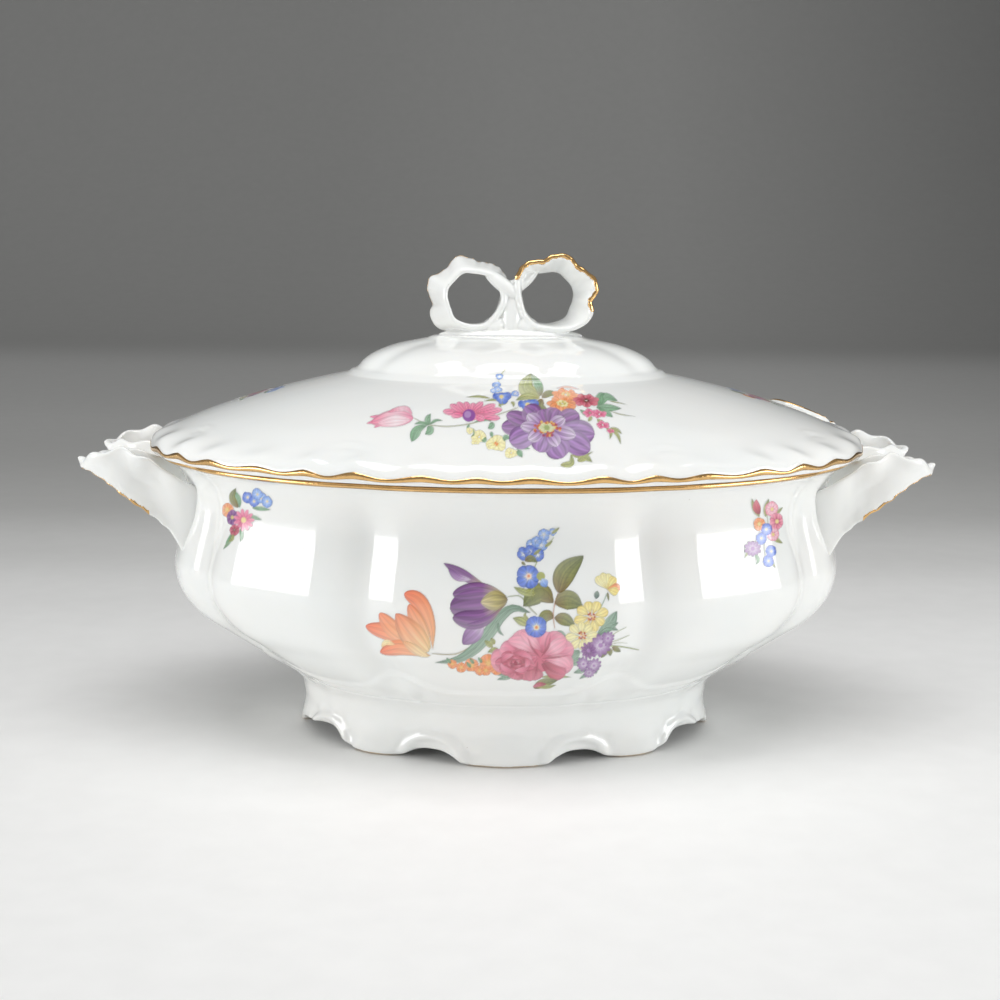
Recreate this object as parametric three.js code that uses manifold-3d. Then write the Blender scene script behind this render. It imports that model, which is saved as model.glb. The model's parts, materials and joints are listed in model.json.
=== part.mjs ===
// Covered soup tureen in glazed porcelain, with gilded edges and ribbon-bow handles and finial.
// Millimetres, +Z up. X runs along the two handles, the front is at -Y, and z = 0 is the table.
import * as THREE from 'three';
import { mergeVertices } from 'three/addons/utils/BufferGeometryUtils.js';
import Module from 'manifold-3d';

const wasm = await Module();
wasm.setup();

// ---- Driving dimensions ----

const COLUMNS = 72; // columns round the oval: two to each of the 36 scallops of the lid's edge
const BODY_RATIO = 0.7; // width over length of the bowl and lid
const FOOT_RATIO = 0.77; // the foot is a rounder oval
const RATIO_BLEND_LOW = 24; // below this height the oval has the foot's ratio
const RATIO_BLEND_HIGH = 56; // above this height it has the body's
const WALL = 4; // thickness of the shells
const GAP = 0.3; // left between pieces that touch

const GROOVE_ANGLES = [28, 67]; // places of the upright grooves in each quarter, degrees round the oval
const GROOVE_DEPTH = 3.6;
const GROOVE_HALF_WIDTH = 9;

const LIP_Z = 114.3; // top of the bowl's lip
const LIP_HALF_LENGTH = 141;
const LIP_GILD_LOW = 112.1;
const LIP_GILD_HIGH = 113.7;

const FOOT_HALF_LENGTH = 85.5;
const FOOT_WALL = 4;
const ARCH_ANGLES = [30.6, 70.6]; // middles of the arched cut-outs under the foot
const ARCH_HALF_ANGLE = 10.2;
const ARCH_HEIGHT = 7.5;
const ARCH_FADE = 15; // the arch lifts the foot's wall up to this height

const RIM_HALF_LENGTH = 144.8; // lid's edge
const SCALLOP = 1; // half of the wave of the lid's edge, both in height and outwards
const SCALLOP_REACH = 16; // the wave dies out this far in from the edge
const DOME_GROOVE_ANGLES = [30, 72];
const DOME_GROOVE_DEPTH = 1.6;
const DOME_GROOVE_HALF_WIDTH = 6;
const DOME_HALF_LENGTH = 64;
const PLATFORM_Z = 161.2; // flat top of the dome, under the finial

const FLANGE_OUTER = 124.5; // locating collar under the lid
const FLANGE_INNER = 120.8;
const FLANGE_LOW = 106;

const NOTCH_CENTRE = [131.3, 42.2]; // where the ladle notch's middle line crosses the lid's edge
const NOTCH_TURN = THREE.MathUtils.degToRad(34);
const NOTCH_DEPTH = 17;
const NOTCH_HALF_WIDTH = 13.5;
const COLLAR_WIDTH = 2.6; // raised edge round the notch
const COLLAR_HEIGHT = 2.4;

const GILD_THICKNESS = 0.4;
const GILD_GAP = 0.25;
const EDGE_GILD_LIFT = 0.55; // middle of a ribbon's gilding above the middle of its edge
const EDGE_GILD_WIDTH = 1.2;
const FINIAL_GILD_FROM = -0.08; // shares of a turn round a finial loop
const FINIAL_GILD_TO = 0.4;
const HANDLE_GILD_FROM = 0.12; // shares of a turn round a handle loop
const HANDLE_GILD_TO = 0.4;

const FINIAL_X = 1.2; // the bow stands a little to the right of the dome's middle
const LOOP_X = 14.7; // middle of each finial loop, from the bow's middle
const LOOP_Z = 175.8;
const LOOP_INNER = 11.6; // mid-wall radius of the loop's small end
const LOOP_DEPTH = 6.2; // half of the ribbon's width, along Y
const FINIAL_WALL = 2.8;

const HANDLE_WALL = 3.2;

// ---- Materials ----

const glaze = () => new THREE.MeshStandardMaterial({ color: 0xf1f2f0, roughness: 0.12, metalness: 0 });
const gold = () => new THREE.MeshStandardMaterial({ color: 0xc9962f, roughness: 0.25, metalness: 1 });

// ---- Solids and meshes ----

function signedVolume(geometry) {
  const points = geometry.getAttribute('position');
  const corners = [new THREE.Vector3(), new THREE.Vector3(), new THREE.Vector3()];
  let sum = 0;
  for (let i = 0; i < geometry.index.count; i += 3) {
    corners.forEach((corner, c) => corner.fromBufferAttribute(points, geometry.index.getX(i + c)));
    sum += corners[0].dot(corners[1].clone().cross(corners[2])) / 6;
  }
  return sum;
}

// Shared corners joined, triangles without area dropped, and all faces turned outwards.
function closed(geometry) {
  geometry.deleteAttribute('normal');
  geometry.deleteAttribute('uv');
  const merged = mergeVertices(geometry, 1e-4);
  const kept = [];
  const index = merged.index.array;
  for (let i = 0; i < index.length; i += 3) {
    const [a, b, c] = [index[i], index[i + 1], index[i + 2]];
    if (a !== b && b !== c && c !== a) {
      kept.push(a, b, c);
    }
  }
  merged.setIndex(kept);
  if (signedVolume(merged) < 0) {
    for (let i = 0; i < kept.length; i += 3) {
      [kept[i], kept[i + 1]] = [kept[i + 1], kept[i]];
    }
    merged.setIndex(kept);
  }
  return merged;
}

function solid(geometry) {
  const joined = closed(geometry);
  const vertProperties = new Float32Array(joined.getAttribute('position').array);
  const triVerts = new Uint32Array(joined.index.array);
  return new wasm.Manifold(new wasm.Mesh({ numProp: 3, vertProperties, triVerts }));
}

function geometryOf(body) {
  const mesh = body.getMesh();
  const geometry = new THREE.BufferGeometry();
  geometry.setAttribute('position', new THREE.BufferAttribute(new Float32Array(mesh.vertProperties), 3));
  geometry.setIndex(new THREE.BufferAttribute(new Uint32Array(mesh.triVerts), 1));
  return geometry;
}

function piece(name, geometry, material) {
  geometry.computeVertexNormals();
  const mesh = new THREE.Mesh(geometry, material);
  mesh.name = name;
  return mesh;
}

// ---- The oval ----

// Angles that divide an oval of the body's ratio into equal lengths of edge.
function evenAngles(count) {
  const fine = 3600;
  const lengths = [0];
  for (let i = 0; i < fine; i++) {
    const angle = ((i + 0.5) / fine) * 2 * Math.PI;
    lengths.push(lengths[i] + Math.hypot(Math.sin(angle), BODY_RATIO * Math.cos(angle)));
  }
  const angles = [];
  let at = 0;
  for (let i = 0; i <= count; i++) {
    while (at < fine && lengths[at + 1] < (lengths[fine] * i) / count) {
      at++;
    }
    const share = ((lengths[fine] * i) / count - lengths[at]) / (lengths[at + 1] - lengths[at] || 1);
    angles.push(((at + share) / fine) * 2 * Math.PI);
  }
  return angles;
}

const COLUMN_ANGLES = evenAngles(COLUMNS);

function ratioAt(z) {
  const t = THREE.MathUtils.smoothstep(z, RATIO_BLEND_LOW, RATIO_BLEND_HIGH);
  return FOOT_RATIO + (BODY_RATIO - FOOT_RATIO) * t;
}

// A bell shape at each of the given angles, mirrored into all four quarters of the oval.
function bells(angle, places, halfWidth, length, ratio) {
  const quarter = Math.atan2(Math.abs(Math.sin(angle)), Math.abs(Math.cos(angle)));
  const bell = (place) => {
    const middle = THREE.MathUtils.degToRad(place);
    const speed = length * Math.hypot(Math.sin(middle), ratio * Math.cos(middle));
    const away = ((quarter - middle) * speed) / halfWidth;
    return Math.exp(-away * away);
  };
  return places.reduce((sum, place) => sum + bell(place), 0);
}

// A point of a profile carried round the oval: inset is its distance in from the outer face,
// and sink moves it inwards along the oval's normal.
function ovalPoint(r, z, angle, ratio, inset, sink) {
  const across = ratio * (r + inset) - inset;
  const normal = new THREE.Vector2(Math.cos(angle) * ratio, Math.sin(angle)).normalize();
  const x = r * Math.cos(angle) - normal.x * sink;
  const y = Math.max(across, 0) * Math.sin(angle) - normal.y * sink;
  return new THREE.Vector3(x, y, z);
}

// A turned profile of [half length, height, inset] whose points are then placed by place().
function ovalLathe(profile, place) {
  const outline = profile.map(([r, z]) => new THREE.Vector2(r, z));
  const geometry = new THREE.LatheGeometry(outline, COLUMNS);
  const points = geometry.getAttribute('position');
  for (let column = 0; column <= COLUMNS; column++) {
    profile.forEach(([r, z, inset = 0], row) => {
      const p = place(r, z, COLUMN_ANGLES[column % COLUMNS], inset, column);
      points.setXYZ(column * profile.length + row, p.x, p.y, p.z);
    });
  }
  return geometry;
}

// ---- Bowl ----

function bowlPoint(r, z, angle, inset) {
  const ratio = ratioAt(z);
  const high = 1 - THREE.MathUtils.smoothstep(z, 96, LIP_Z) * 0.8;
  const low = THREE.MathUtils.smoothstep(z, 19, 40);
  const middle = THREE.MathUtils.smoothstep(r, 40, 90);
  const depth = GROOVE_DEPTH * high * (0.35 + 0.65 * low) * middle;
  const sink = depth * bells(angle, GROOVE_ANGLES, GROOVE_HALF_WIDTH, Math.max(r, 1), ratio);
  return ovalPoint(r, z, angle, ratio, inset, sink);
}

const BOWL_OUTER = [
  [0, 17.5], [70, 18], [79, 20.5], [96, 30], [115, 42], [127.5, 50.5], [134.5, 60],
  [136.3, 69], [134.5, 78], [131, 92], [131.5, 104], [136, 110.5], [LIP_HALF_LENGTH, 113.2],
  [LIP_HALF_LENGTH, LIP_Z],
];
const BOWL_INNER = [
  [137, LIP_Z, WALL], [128, 104, WALL], [127, 92, WALL], [130.5, 78, WALL], [132, 68, WALL],
  [127, 54.5, WALL], [111, 42, WALL], [91, 30, WALL], [74, 24, WALL], [0, 22, WALL],
];

const bowlGeometry = closed(ovalLathe([...BOWL_OUTER, ...BOWL_INNER], bowlPoint));

// The bowl's outer form as a full solid, grown by the gap, to trim what is luted on to it.
const bowlForm = solid(
  ovalLathe(
    [[0, 17], ...BOWL_OUTER.slice(1).map(([r, z]) => [r + GAP + 0.05, z]), [0, LIP_Z]],
    bowlPoint,
  ),
);

function footPoint(r, z, angle, inset) {
  const quarter = THREE.MathUtils.radToDeg(Math.atan2(Math.abs(Math.sin(angle)), Math.abs(Math.cos(angle))));
  const nearest = Math.min(...ARCH_ANGLES.map((place) => Math.abs(quarter - place)));
  const arch = nearest < ARCH_HALF_ANGLE ? Math.cos((nearest / ARCH_HALF_ANGLE) * (Math.PI / 2)) ** 0.7 : 0;
  const lift = ARCH_HEIGHT * arch * Math.max(0, 1 - z / ARCH_FADE);
  const raised = z + lift;
  const follow = bowlPoint(r, z, angle, inset);
  const plain = ovalPoint(r, z, angle, FOOT_RATIO, inset, 0);
  const share = THREE.MathUtils.smoothstep(z, 8, 19);
  const p = plain.lerp(follow, share);
  p.z = raised;
  return p;
}

const FOOT_PROFILE = [
  [FOOT_HALF_LENGTH, 0], [85, 4], [83.7, 12], [84.5, 19], [86.2, 24.05],
  [79.3, 20.25], [75.5, 19.1], [77.5, 12, 6.2], [80, 5, 5],
  [FOOT_HALF_LENGTH - FOOT_WALL, 0, FOOT_WALL], [FOOT_HALF_LENGTH, 0],
];

const LIP_GILD_PROFILE = [
  [LIP_HALF_LENGTH - 1.6 + GILD_GAP, LIP_GILD_LOW],
  [LIP_HALF_LENGTH + GILD_GAP, 113.2],
  [LIP_HALF_LENGTH + GILD_GAP, LIP_GILD_HIGH],
  [LIP_HALF_LENGTH + GILD_GAP + GILD_THICKNESS, LIP_GILD_HIGH],
  [LIP_HALF_LENGTH + GILD_GAP + GILD_THICKNESS, 113],
  [LIP_HALF_LENGTH - 1.6 + GILD_GAP + GILD_THICKNESS, LIP_GILD_LOW - 0.2],
  [LIP_HALF_LENGTH - 1.6 + GILD_GAP, LIP_GILD_LOW],
];

// ---- Lid ----

// Height and place of a lid point: the edge waves out and down, then in and up.
function lidPoint(r, z, angle, inset, column) {
  const wave = column % 2 === 0 ? 1 : -1;
  const reach = THREE.MathUtils.smoothstep(r, RIM_HALF_LENGTH - SCALLOP_REACH, RIM_HALF_LENGTH - 2);
  const swing = SCALLOP * wave * reach;
  const onDome = 1 - THREE.MathUtils.smoothstep(r, DOME_HALF_LENGTH - 8, DOME_HALF_LENGTH + 2);
  const awayFromTop = THREE.MathUtils.smoothstep(r, 30, 44);
  const groove = bells(angle, DOME_GROOVE_ANGLES, DOME_GROOVE_HALF_WIDTH, Math.max(r, 1), BODY_RATIO);
  const sink = DOME_GROOVE_DEPTH * onDome * awayFromTop * groove - swing;
  const height = inset > 2 ? z : z - swing;
  return ovalPoint(r, height, angle, BODY_RATIO, inset, sink);
}

const LID_TOP = [
  [0, PLATFORM_Z], [30, PLATFORM_Z], [32.5, 160], [45, 157.3], [55.3, 153.5], [59.9, 149.5],
  [61.3, 147.6], [DOME_HALF_LENGTH, 146], [84, 141.5], [110, 134.2], [131, 126.6], [140.5, 122.7],
  [RIM_HALF_LENGTH - 0.9, 120.6], [RIM_HALF_LENGTH, 118.2], [RIM_HALF_LENGTH, 116.4],
];
const LID_UNDERSIDE = [
  [RIM_HALF_LENGTH - 1.2, 115.7, 1.2], [138.6, 114.7, 6], [135, 120.6, WALL], [124.9, 124.6, WALL],
  [120.4, 126.3, WALL], [98, 133.6, WALL], [66, 141.2, WALL], [57.5, 145, WALL],
  [52, 150.5, WALL], [30, 156.6, WALL], [0, 157.2, WALL],
];

// The notch's half-oval outline, grown by a margin, and how far round it a share from 0 to 1 goes.
function notchPoint(share, margin) {
  const turn = Math.PI / 2 + share * Math.PI;
  const u = (NOTCH_DEPTH + margin) * Math.cos(turn);
  const v = (NOTCH_HALF_WIDTH + margin) * Math.sin(turn);
  const x = NOTCH_CENTRE[0] + u * Math.cos(NOTCH_TURN) - v * Math.sin(NOTCH_TURN);
  const y = NOTCH_CENTRE[1] + u * Math.sin(NOTCH_TURN) + v * Math.cos(NOTCH_TURN);
  return new THREE.Vector2(x, y);
}

function notchCutter() {
  const outline = new THREE.Shape();
  outline.absellipse(0, 0, NOTCH_DEPTH, NOTCH_HALF_WIDTH, Math.PI / 2, 1.5 * Math.PI);
  outline.lineTo(30, -NOTCH_HALF_WIDTH);
  outline.lineTo(30, NOTCH_HALF_WIDTH);
  const block = new THREE.ExtrudeGeometry(outline, { depth: 60, bevelEnabled: false, curveSegments: 10 });
  block.rotateZ(NOTCH_TURN);
  block.translate(NOTCH_CENTRE[0], NOTCH_CENTRE[1], 100);
  return solid(block);
}

const lidBlank = solid(ovalLathe([...LID_TOP, ...LID_UNDERSIDE], lidPoint));
const lidGeometry = geometryOf(lidBlank.subtract(notchCutter()));

const FLANGE_PROFILE = [
  [FLANGE_OUTER, 124.3, WALL],
  [FLANGE_OUTER, FLANGE_LOW + 1, WALL],
  [FLANGE_OUTER - 0.8, FLANGE_LOW, WALL + 0.8],
  [FLANGE_INNER + 0.8, FLANGE_LOW, WALL + 2.9],
  [FLANGE_INNER, FLANGE_LOW + 1, WALL + 3.7],
  [FLANGE_INNER, 125.6, WALL + 3.7],
  [FLANGE_OUTER, 124.3, WALL],
];
const flangePoint = (r, z, angle, inset) => ovalPoint(r, z, angle, BODY_RATIO, inset, 0);

const RIM_GILD_OUT = RIM_HALF_LENGTH + GILD_GAP;
const RIM_GILD_PROFILE = [
  [RIM_GILD_OUT - 0.45, 119.4], [RIM_GILD_OUT, 118.2], [RIM_GILD_OUT, 116.6],
  [RIM_GILD_OUT + GILD_THICKNESS, 116.6], [RIM_GILD_OUT + GILD_THICKNESS, 118.2],
  [RIM_GILD_OUT - 0.45 + GILD_THICKNESS, 119.5], [RIM_GILD_OUT - 0.45, 119.4],
];

// Height of the lid's top face over a plan point, away from the dome.
function lidHeight(x, y) {
  const r = Math.min(Math.hypot(x, y / BODY_RATIO), RIM_HALF_LENGTH - 0.9);
  const slope = LID_TOP.slice(7, 13);
  const next = Math.max(1, slope.findIndex(([reach]) => reach >= r));
  const [[r0, z0], [r1, z1]] = [slope[next - 1], slope[next]];
  return z0 + ((r - r0) / (r1 - r0)) * (z1 - z0);
}

// A strip bent along a path. frame(t) gives its middle, the direction across and the direction up.
function bentStrip(frame, steps, width, height) {
  const geometry = new THREE.BoxGeometry(1, 1, 1, steps, 1, 1);
  const points = geometry.getAttribute('position');
  for (let i = 0; i < points.count; i++) {
    const { middle, across, up } = frame(points.getX(i) + 0.5);
    const p = middle.clone();
    p.addScaledVector(across, points.getY(i) * width);
    p.addScaledVector(up, points.getZ(i) * height);
    points.setXYZ(i, p.x, p.y, p.z);
  }
  return closed(geometry);
}

function collarFrame(lift) {
  return (t) => {
    const share = 0.03 + 0.94 * t;
    const near = notchPoint(share, 0);
    const far = notchPoint(share, 1);
    const middle = notchPoint(share, COLLAR_WIDTH / 2);
    const across = new THREE.Vector3(far.x - near.x, far.y - near.y, 0).normalize();
    const highest = Math.max(...[0, COLLAR_WIDTH].map((m) => {
      const edge = notchPoint(share, m);
      return lidHeight(edge.x, edge.y);
    }));
    const up = new THREE.Vector3(0, 0, 1);
    return { middle: new THREE.Vector3(middle.x, middle.y, highest + lift), across, up };
  };
}

// ---- Ribbons ----

// A closed ribbon ring. Its two edges are closed curves, and its section is a flat hexagon.
const RIBBON_SECTION = [[1, 0], [0.78, 1], [-0.78, 1], [-1, 0], [-0.78, -1], [0.78, -1]];

function ribbonRing(edgeA, edgeB, wall, steps) {
  const sides = RIBBON_SECTION.length;
  const geometry = new THREE.TorusGeometry(2, 1, sides, steps);
  const points = geometry.getAttribute('position');
  const middleOf = (t) => edgeA.getPoint(t).add(edgeB.getPoint(t)).multiplyScalar(0.5);
  for (let step = 0; step <= steps; step++) {
    const t = (step % steps) / steps;
    const a = edgeA.getPoint(t);
    const b = edgeB.getPoint(t);
    const middle = middleOf(t);
    const along = middleOf((t + 0.004) % 1).sub(middleOf((t + 0.996) % 1));
    const half = a.clone().sub(b).multiplyScalar(0.5);
    const normal = along.cross(half).normalize();
    for (let side = 0; side <= sides; side++) {
      const [w, n] = RIBBON_SECTION[side % sides];
      const p = middle.clone().addScaledVector(half, w).addScaledVector(normal, (n * wall) / 2);
      points.setXYZ(side * (steps + 1) + step, p.x, p.y, p.z);
    }
  }
  return geometry;
}

const closedCurve = (points) =>
  new THREE.CatmullRomCurve3(points.map((p) => new THREE.Vector3(...p)), true, 'centripetal');

// Finial loop: the small end is nearly round, and the flared end waves in and out.
const FLARE_RADII = [20, 19.6, 18.4, 19.3, 17, 16.6, 17.2, 15, 12, 12, 12.6, 12.8, 12.8, 14, 17.7, 18.8];

function finialLoop(side) {
  const small = [];
  const flared = [];
  FLARE_RADII.forEach((radius, i) => {
    const turn = (i / FLARE_RADII.length) * 2 * Math.PI;
    const spot = (reach, y) => [
      FINIAL_X + side * (LOOP_X + reach * Math.cos(turn)),
      -side * y,
      LOOP_Z + reach * Math.sin(turn),
    ];
    small.push(spot(LOOP_INNER, -LOOP_DEPTH));
    flared.push(spot(radius - FINIAL_WALL / 2, LOOP_DEPTH));
  });
  return { small: closedCurve(small), flared: closedCurve(flared) };
}

const RIGHT_LOOP = finialLoop(1);
const LEFT_LOOP = finialLoop(-1);

function finialGeometry() {
  const knot = new THREE.LatheGeometry(
    [[0, 160], [9, 160], [8.4, 164], [5.6, 168], [5.2, 178], [5.4, 181], [2.6, 184.6], [0, 185.2]]
      .map(([r, z]) => new THREE.Vector2(r, z)),
    14,
  );
  knot.rotateX(Math.PI / 2);
  knot.translate(FINIAL_X, 0, 0);
  const plinth = new THREE.CylinderGeometry(28, 29.2, 5, 24);
  plinth.rotateX(Math.PI / 2);
  plinth.scale(1, 0.26, 1);
  plinth.translate(FINIAL_X, 0, 162);
  const body = solid(ribbonRing(RIGHT_LOOP.small, RIGHT_LOOP.flared, FINIAL_WALL, 28))
    .add(solid(ribbonRing(LEFT_LOOP.small, LEFT_LOOP.flared, FINIAL_WALL, 28)))
    .add(solid(knot))
    .add(solid(plinth));
  const seat = new THREE.BoxGeometry(120, 80, 20);
  seat.translate(0, 0, PLATFORM_Z + GAP - 10);
  return geometryOf(body.subtract(solid(seat)));
}

// Gold on an edge of a ribbon loop, between two shares of a turn round it.
function edgeGilding(edge, other, from, to, steps) {
  return bentStrip(
    (t) => {
      const at = (from + (to - from) * t + 1) % 1;
      const spot = edge.getPoint(at);
      const up = spot.clone().sub(other.getPoint(at)).normalize();
      const along = edge.getTangent(at);
      const across = new THREE.Vector3().crossVectors(along, up).normalize();
      return { middle: spot.addScaledVector(up, EDGE_GILD_LIFT), across, up };
    },
    steps,
    EDGE_GILD_WIDTH,
    GILD_THICKNESS,
  );
}

// ---- Handles ----

// Edges of the front loop of the right handle: from the bowl out along the front to the tip,
// back along the middle, and closed inside the bowl's wall, which trims it.
const LOOP_TOP = [
  [122, -32, 101], [134, -35, 107.5], [142, -35.5, 112.5], [150, -35, 116.4], [158, -33, 116],
  [166, -29, 113.8], [168.4, -24, 112.6], [165, -18.5, 113.6], [157, -14, 115], [147, -10.5, 114],
  [137, -7, 111], [124, -4, 106], [116, -10, 103], [115, -22, 101],
];
const LOOP_BOTTOM = [
  [125, -25, 70], [133.6, -30, 84.6], [141, -33, 92], [150.5, -33.5, 99], [158, -32, 105],
  [165.6, -28.6, 109], [167.6, -24, 108.6], [163.6, -18.5, 106.4], [155.5, -14, 102], [146.5, -10.5, 96.5],
  [137.5, -7, 90], [124, -4, 82], [116, -10, 80], [116, -20, 78],
];

function handleEdges(side, face) {
  const mirrored = (points) => closedCurve(points.map(([x, y, z]) => [side * x, face * y, z]));
  return { top: mirrored(LOOP_TOP), bottom: mirrored(LOOP_BOTTOM) };
}

function handleGeometry(side) {
  const front = handleEdges(side, 1);
  const rear = handleEdges(side, -1);
  const knot = new THREE.SphereGeometry(1, 14, 10);
  knot.scale(9, 7.5, 15);
  knot.translate(side * 131, 0, 96);
  const body = solid(ribbonRing(front.top, front.bottom, HANDLE_WALL, 32))
    .add(solid(ribbonRing(rear.top, rear.bottom, HANDLE_WALL, 32)))
    .add(solid(knot));
  return geometryOf(body.subtract(bowlForm));
}

// Gold along the lower edge of a loop, from its tip back towards the bowl.
function handleGilding(side, face) {
  const edges = handleEdges(side, face);
  return edgeGilding(edges.bottom, edges.top, HANDLE_GILD_FROM, HANDLE_GILD_TO, 12);
}

// ---- Assembly ----

const tureen = new THREE.Group();
const bowl = new THREE.Group();
const lid = new THREE.Group();
tureen.add(bowl, lid);

bowl.add(piece('bowl_shell', bowlGeometry, glaze()));
bowl.add(piece('foot_ring', closed(ovalLathe(FOOT_PROFILE, footPoint)), glaze()));
bowl.add(piece('bowl_lip_gilding', closed(ovalLathe(LIP_GILD_PROFILE, bowlPoint)), gold()));
[['left', -1], ['right', 1]].forEach(([word, side]) => {
  bowl.add(piece(`handle_${word}`, handleGeometry(side), glaze()));
  bowl.add(piece(`handle_${word}_gilding_front`, handleGilding(side, 1), gold()));
  bowl.add(piece(`handle_${word}_gilding_rear`, handleGilding(side, -1), gold()));
});

lid.add(piece('lid_shell', lidGeometry, glaze()));
lid.add(piece('lid_flange', closed(ovalLathe(FLANGE_PROFILE, flangePoint)), glaze()));
lid.add(piece('lid_finial', finialGeometry(), glaze()));
const collarLift = GAP + COLLAR_HEIGHT / 2;
lid.add(piece('notch_collar', bentStrip(collarFrame(collarLift), 16, COLLAR_WIDTH, COLLAR_HEIGHT), glaze()));
const notchGildLift = GAP + COLLAR_HEIGHT + GILD_GAP + GILD_THICKNESS / 2;
lid.add(piece('notch_gilding', bentStrip(collarFrame(notchGildLift), 16, 1.6, GILD_THICKNESS), gold()));
const rimGilding = solid(ovalLathe(RIM_GILD_PROFILE, lidPoint)).subtract(notchCutter());
lid.add(piece('lid_edge_gilding', geometryOf(rimGilding), gold()));
[['right', RIGHT_LOOP], ['left', LEFT_LOOP]].forEach(([word, loop]) => {
  const strip = edgeGilding(loop.flared, loop.small, FINIAL_GILD_FROM, FINIAL_GILD_TO, 20);
  lid.add(piece(`finial_gilding_${word}`, strip, gold()));
});

export default tureen;
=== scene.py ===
"""Covered soup tureen: glazed porcelain with gilded edges, ribbon-bow handles and printed flowers."""
import json
import math

import bpy
import numpy as np
from mathutils import Matrix, Vector

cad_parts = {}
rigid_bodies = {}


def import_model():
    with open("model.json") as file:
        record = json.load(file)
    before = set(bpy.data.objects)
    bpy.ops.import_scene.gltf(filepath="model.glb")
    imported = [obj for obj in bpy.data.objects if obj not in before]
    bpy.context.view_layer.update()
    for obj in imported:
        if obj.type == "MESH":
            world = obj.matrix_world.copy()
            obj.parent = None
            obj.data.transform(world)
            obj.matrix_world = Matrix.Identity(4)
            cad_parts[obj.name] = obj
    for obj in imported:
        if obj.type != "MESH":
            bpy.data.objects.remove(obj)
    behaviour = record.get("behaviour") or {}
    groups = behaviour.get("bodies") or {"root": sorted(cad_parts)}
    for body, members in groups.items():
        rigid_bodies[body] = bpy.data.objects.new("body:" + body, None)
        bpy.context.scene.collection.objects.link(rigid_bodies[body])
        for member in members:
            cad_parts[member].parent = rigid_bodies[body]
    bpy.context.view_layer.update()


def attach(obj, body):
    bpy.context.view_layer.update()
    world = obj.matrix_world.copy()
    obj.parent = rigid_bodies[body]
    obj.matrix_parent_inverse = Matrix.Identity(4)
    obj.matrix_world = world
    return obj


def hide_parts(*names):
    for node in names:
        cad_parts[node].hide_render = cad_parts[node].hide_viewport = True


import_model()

bl_info = {
    "name": "Covered soup tureen",
    "version": (1, 0, 0),
    "blender": (4, 5, 0),
    "location": "View3D > Sidebar > Tureen",
    "description": "Builds a porcelain soup tureen with its lid, gilding and flower prints",
    "category": "Add Mesh",
}

MM = 0.001

# ---- Shapes, in millimetres ----

BODY_RATIO = 0.7  # width over length of the bowl and lid
FOOT_RATIO = 0.77
SCALLOPS = 36
BODY_GROOVES = (28.0, 67.0)  # degrees round the oval, in each quarter
DOME_GROOVES = (30.0, 72.0)
ARCHES = (33.0, 70.6)  # degrees round the foot, in each quarter
HOOD_HALF_ANGLES = (9.0, 8.0)

# How finely the pieces are modelled: points round the oval, and the gap between points of an outline.
BOWL_STEPS, BOWL_GAP = 396, 1.9
FOOT_STEPS, FOOT_GAP = 324, 1.1
LID_STEPS, LID_GAP = 432, 1.9
FLANGE_STEPS, FLANGE_GAP = 216, 1.5
HANDLE_VOXEL, HANDLE_ROUNDS = 0.5, 7
FINIAL_VOXEL, FINIAL_ROUNDS = 0.42, 5

# The gold lines: heights on the lip and on the lid's edge, and shares of a turn along the ribbons.
LIP_GOLD_FROM = 112.0
LID_GOLD_FROM, LID_GOLD_TO = 115.6, 118.8
HANDLE_GOLD_FROM, HANDLE_GOLD_TO = 0.15, 0.44
FINIAL_GOLD_FROM, FINIAL_GOLD_TO = -0.03, 0.4
HANDLE_GOLD_WIDTH = 1.25
FINIAL_GOLD_WIDTH = 1.1

# The small waves along the ribbons' edges: how far they swing, and how many go round.
HANDLE_TOP_WAVES = (0.75, 10)
HANDLE_BOTTOM_WAVES = (0.32, 23)
FINIAL_WAVES = (0.16, 21)

HANDLE_WALL = 3.4
FINIAL_WALL = 2.9
FINIAL_FOOT_Z = 160.6

# Outlines: half length of the oval, height, and distance in from the outer face.
BOWL_OUTSIDE = [
    (0, 17.5, 0), (40, 17.6, 0), (70, 18, 0), (79, 20.5, 0), (96, 30, 0), (115, 42, 0),
    (127.5, 50.5, 0), (134.5, 60, 0), (136.3, 69, 0), (134.5, 78, 0), (131, 92, 0),
    (131.5, 104, 0), (136, 110.5, 0), (139.6, 112.4, 0), (140.7, 112.9, 0), (141, 113.4, 0),
    (140.8, 114, 0.2), (140.2, 114.3, 0.8), (138, 114.3, 3), (137.2, 114.1, 3.8), (136.6, 113.4, 4),
    (133, 109.4, 4), (128, 103, 4), (127, 92, 4), (130.5, 78, 4), (132, 68, 4), (127, 54.5, 4),
    (111, 42, 4), (91, 30, 4), (74, 24, 4), (40, 22.2, 4), (0, 22, 4),
]
FOOT_OUTLINE = [
    (85.6, 0.7, 0), (85.6, 2.2, 0), (85, 5, 0), (83.7, 12, 0), (84.4, 19, 0), (86, 22.4, 0),
    (88.2, 25.9, 0), (86.2, 25.7, 0.8), (79.3, 20.9, 2), (75.5, 19.1, 5), (76.4, 15, 6), (78.2, 9, 5.4),
    (80, 4, 5), (81.4, 0.9, 4), (82.2, 0.1, 3.4), (84.8, 0, 0.8), (85.4, 0.2, 0.2),
]
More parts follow.
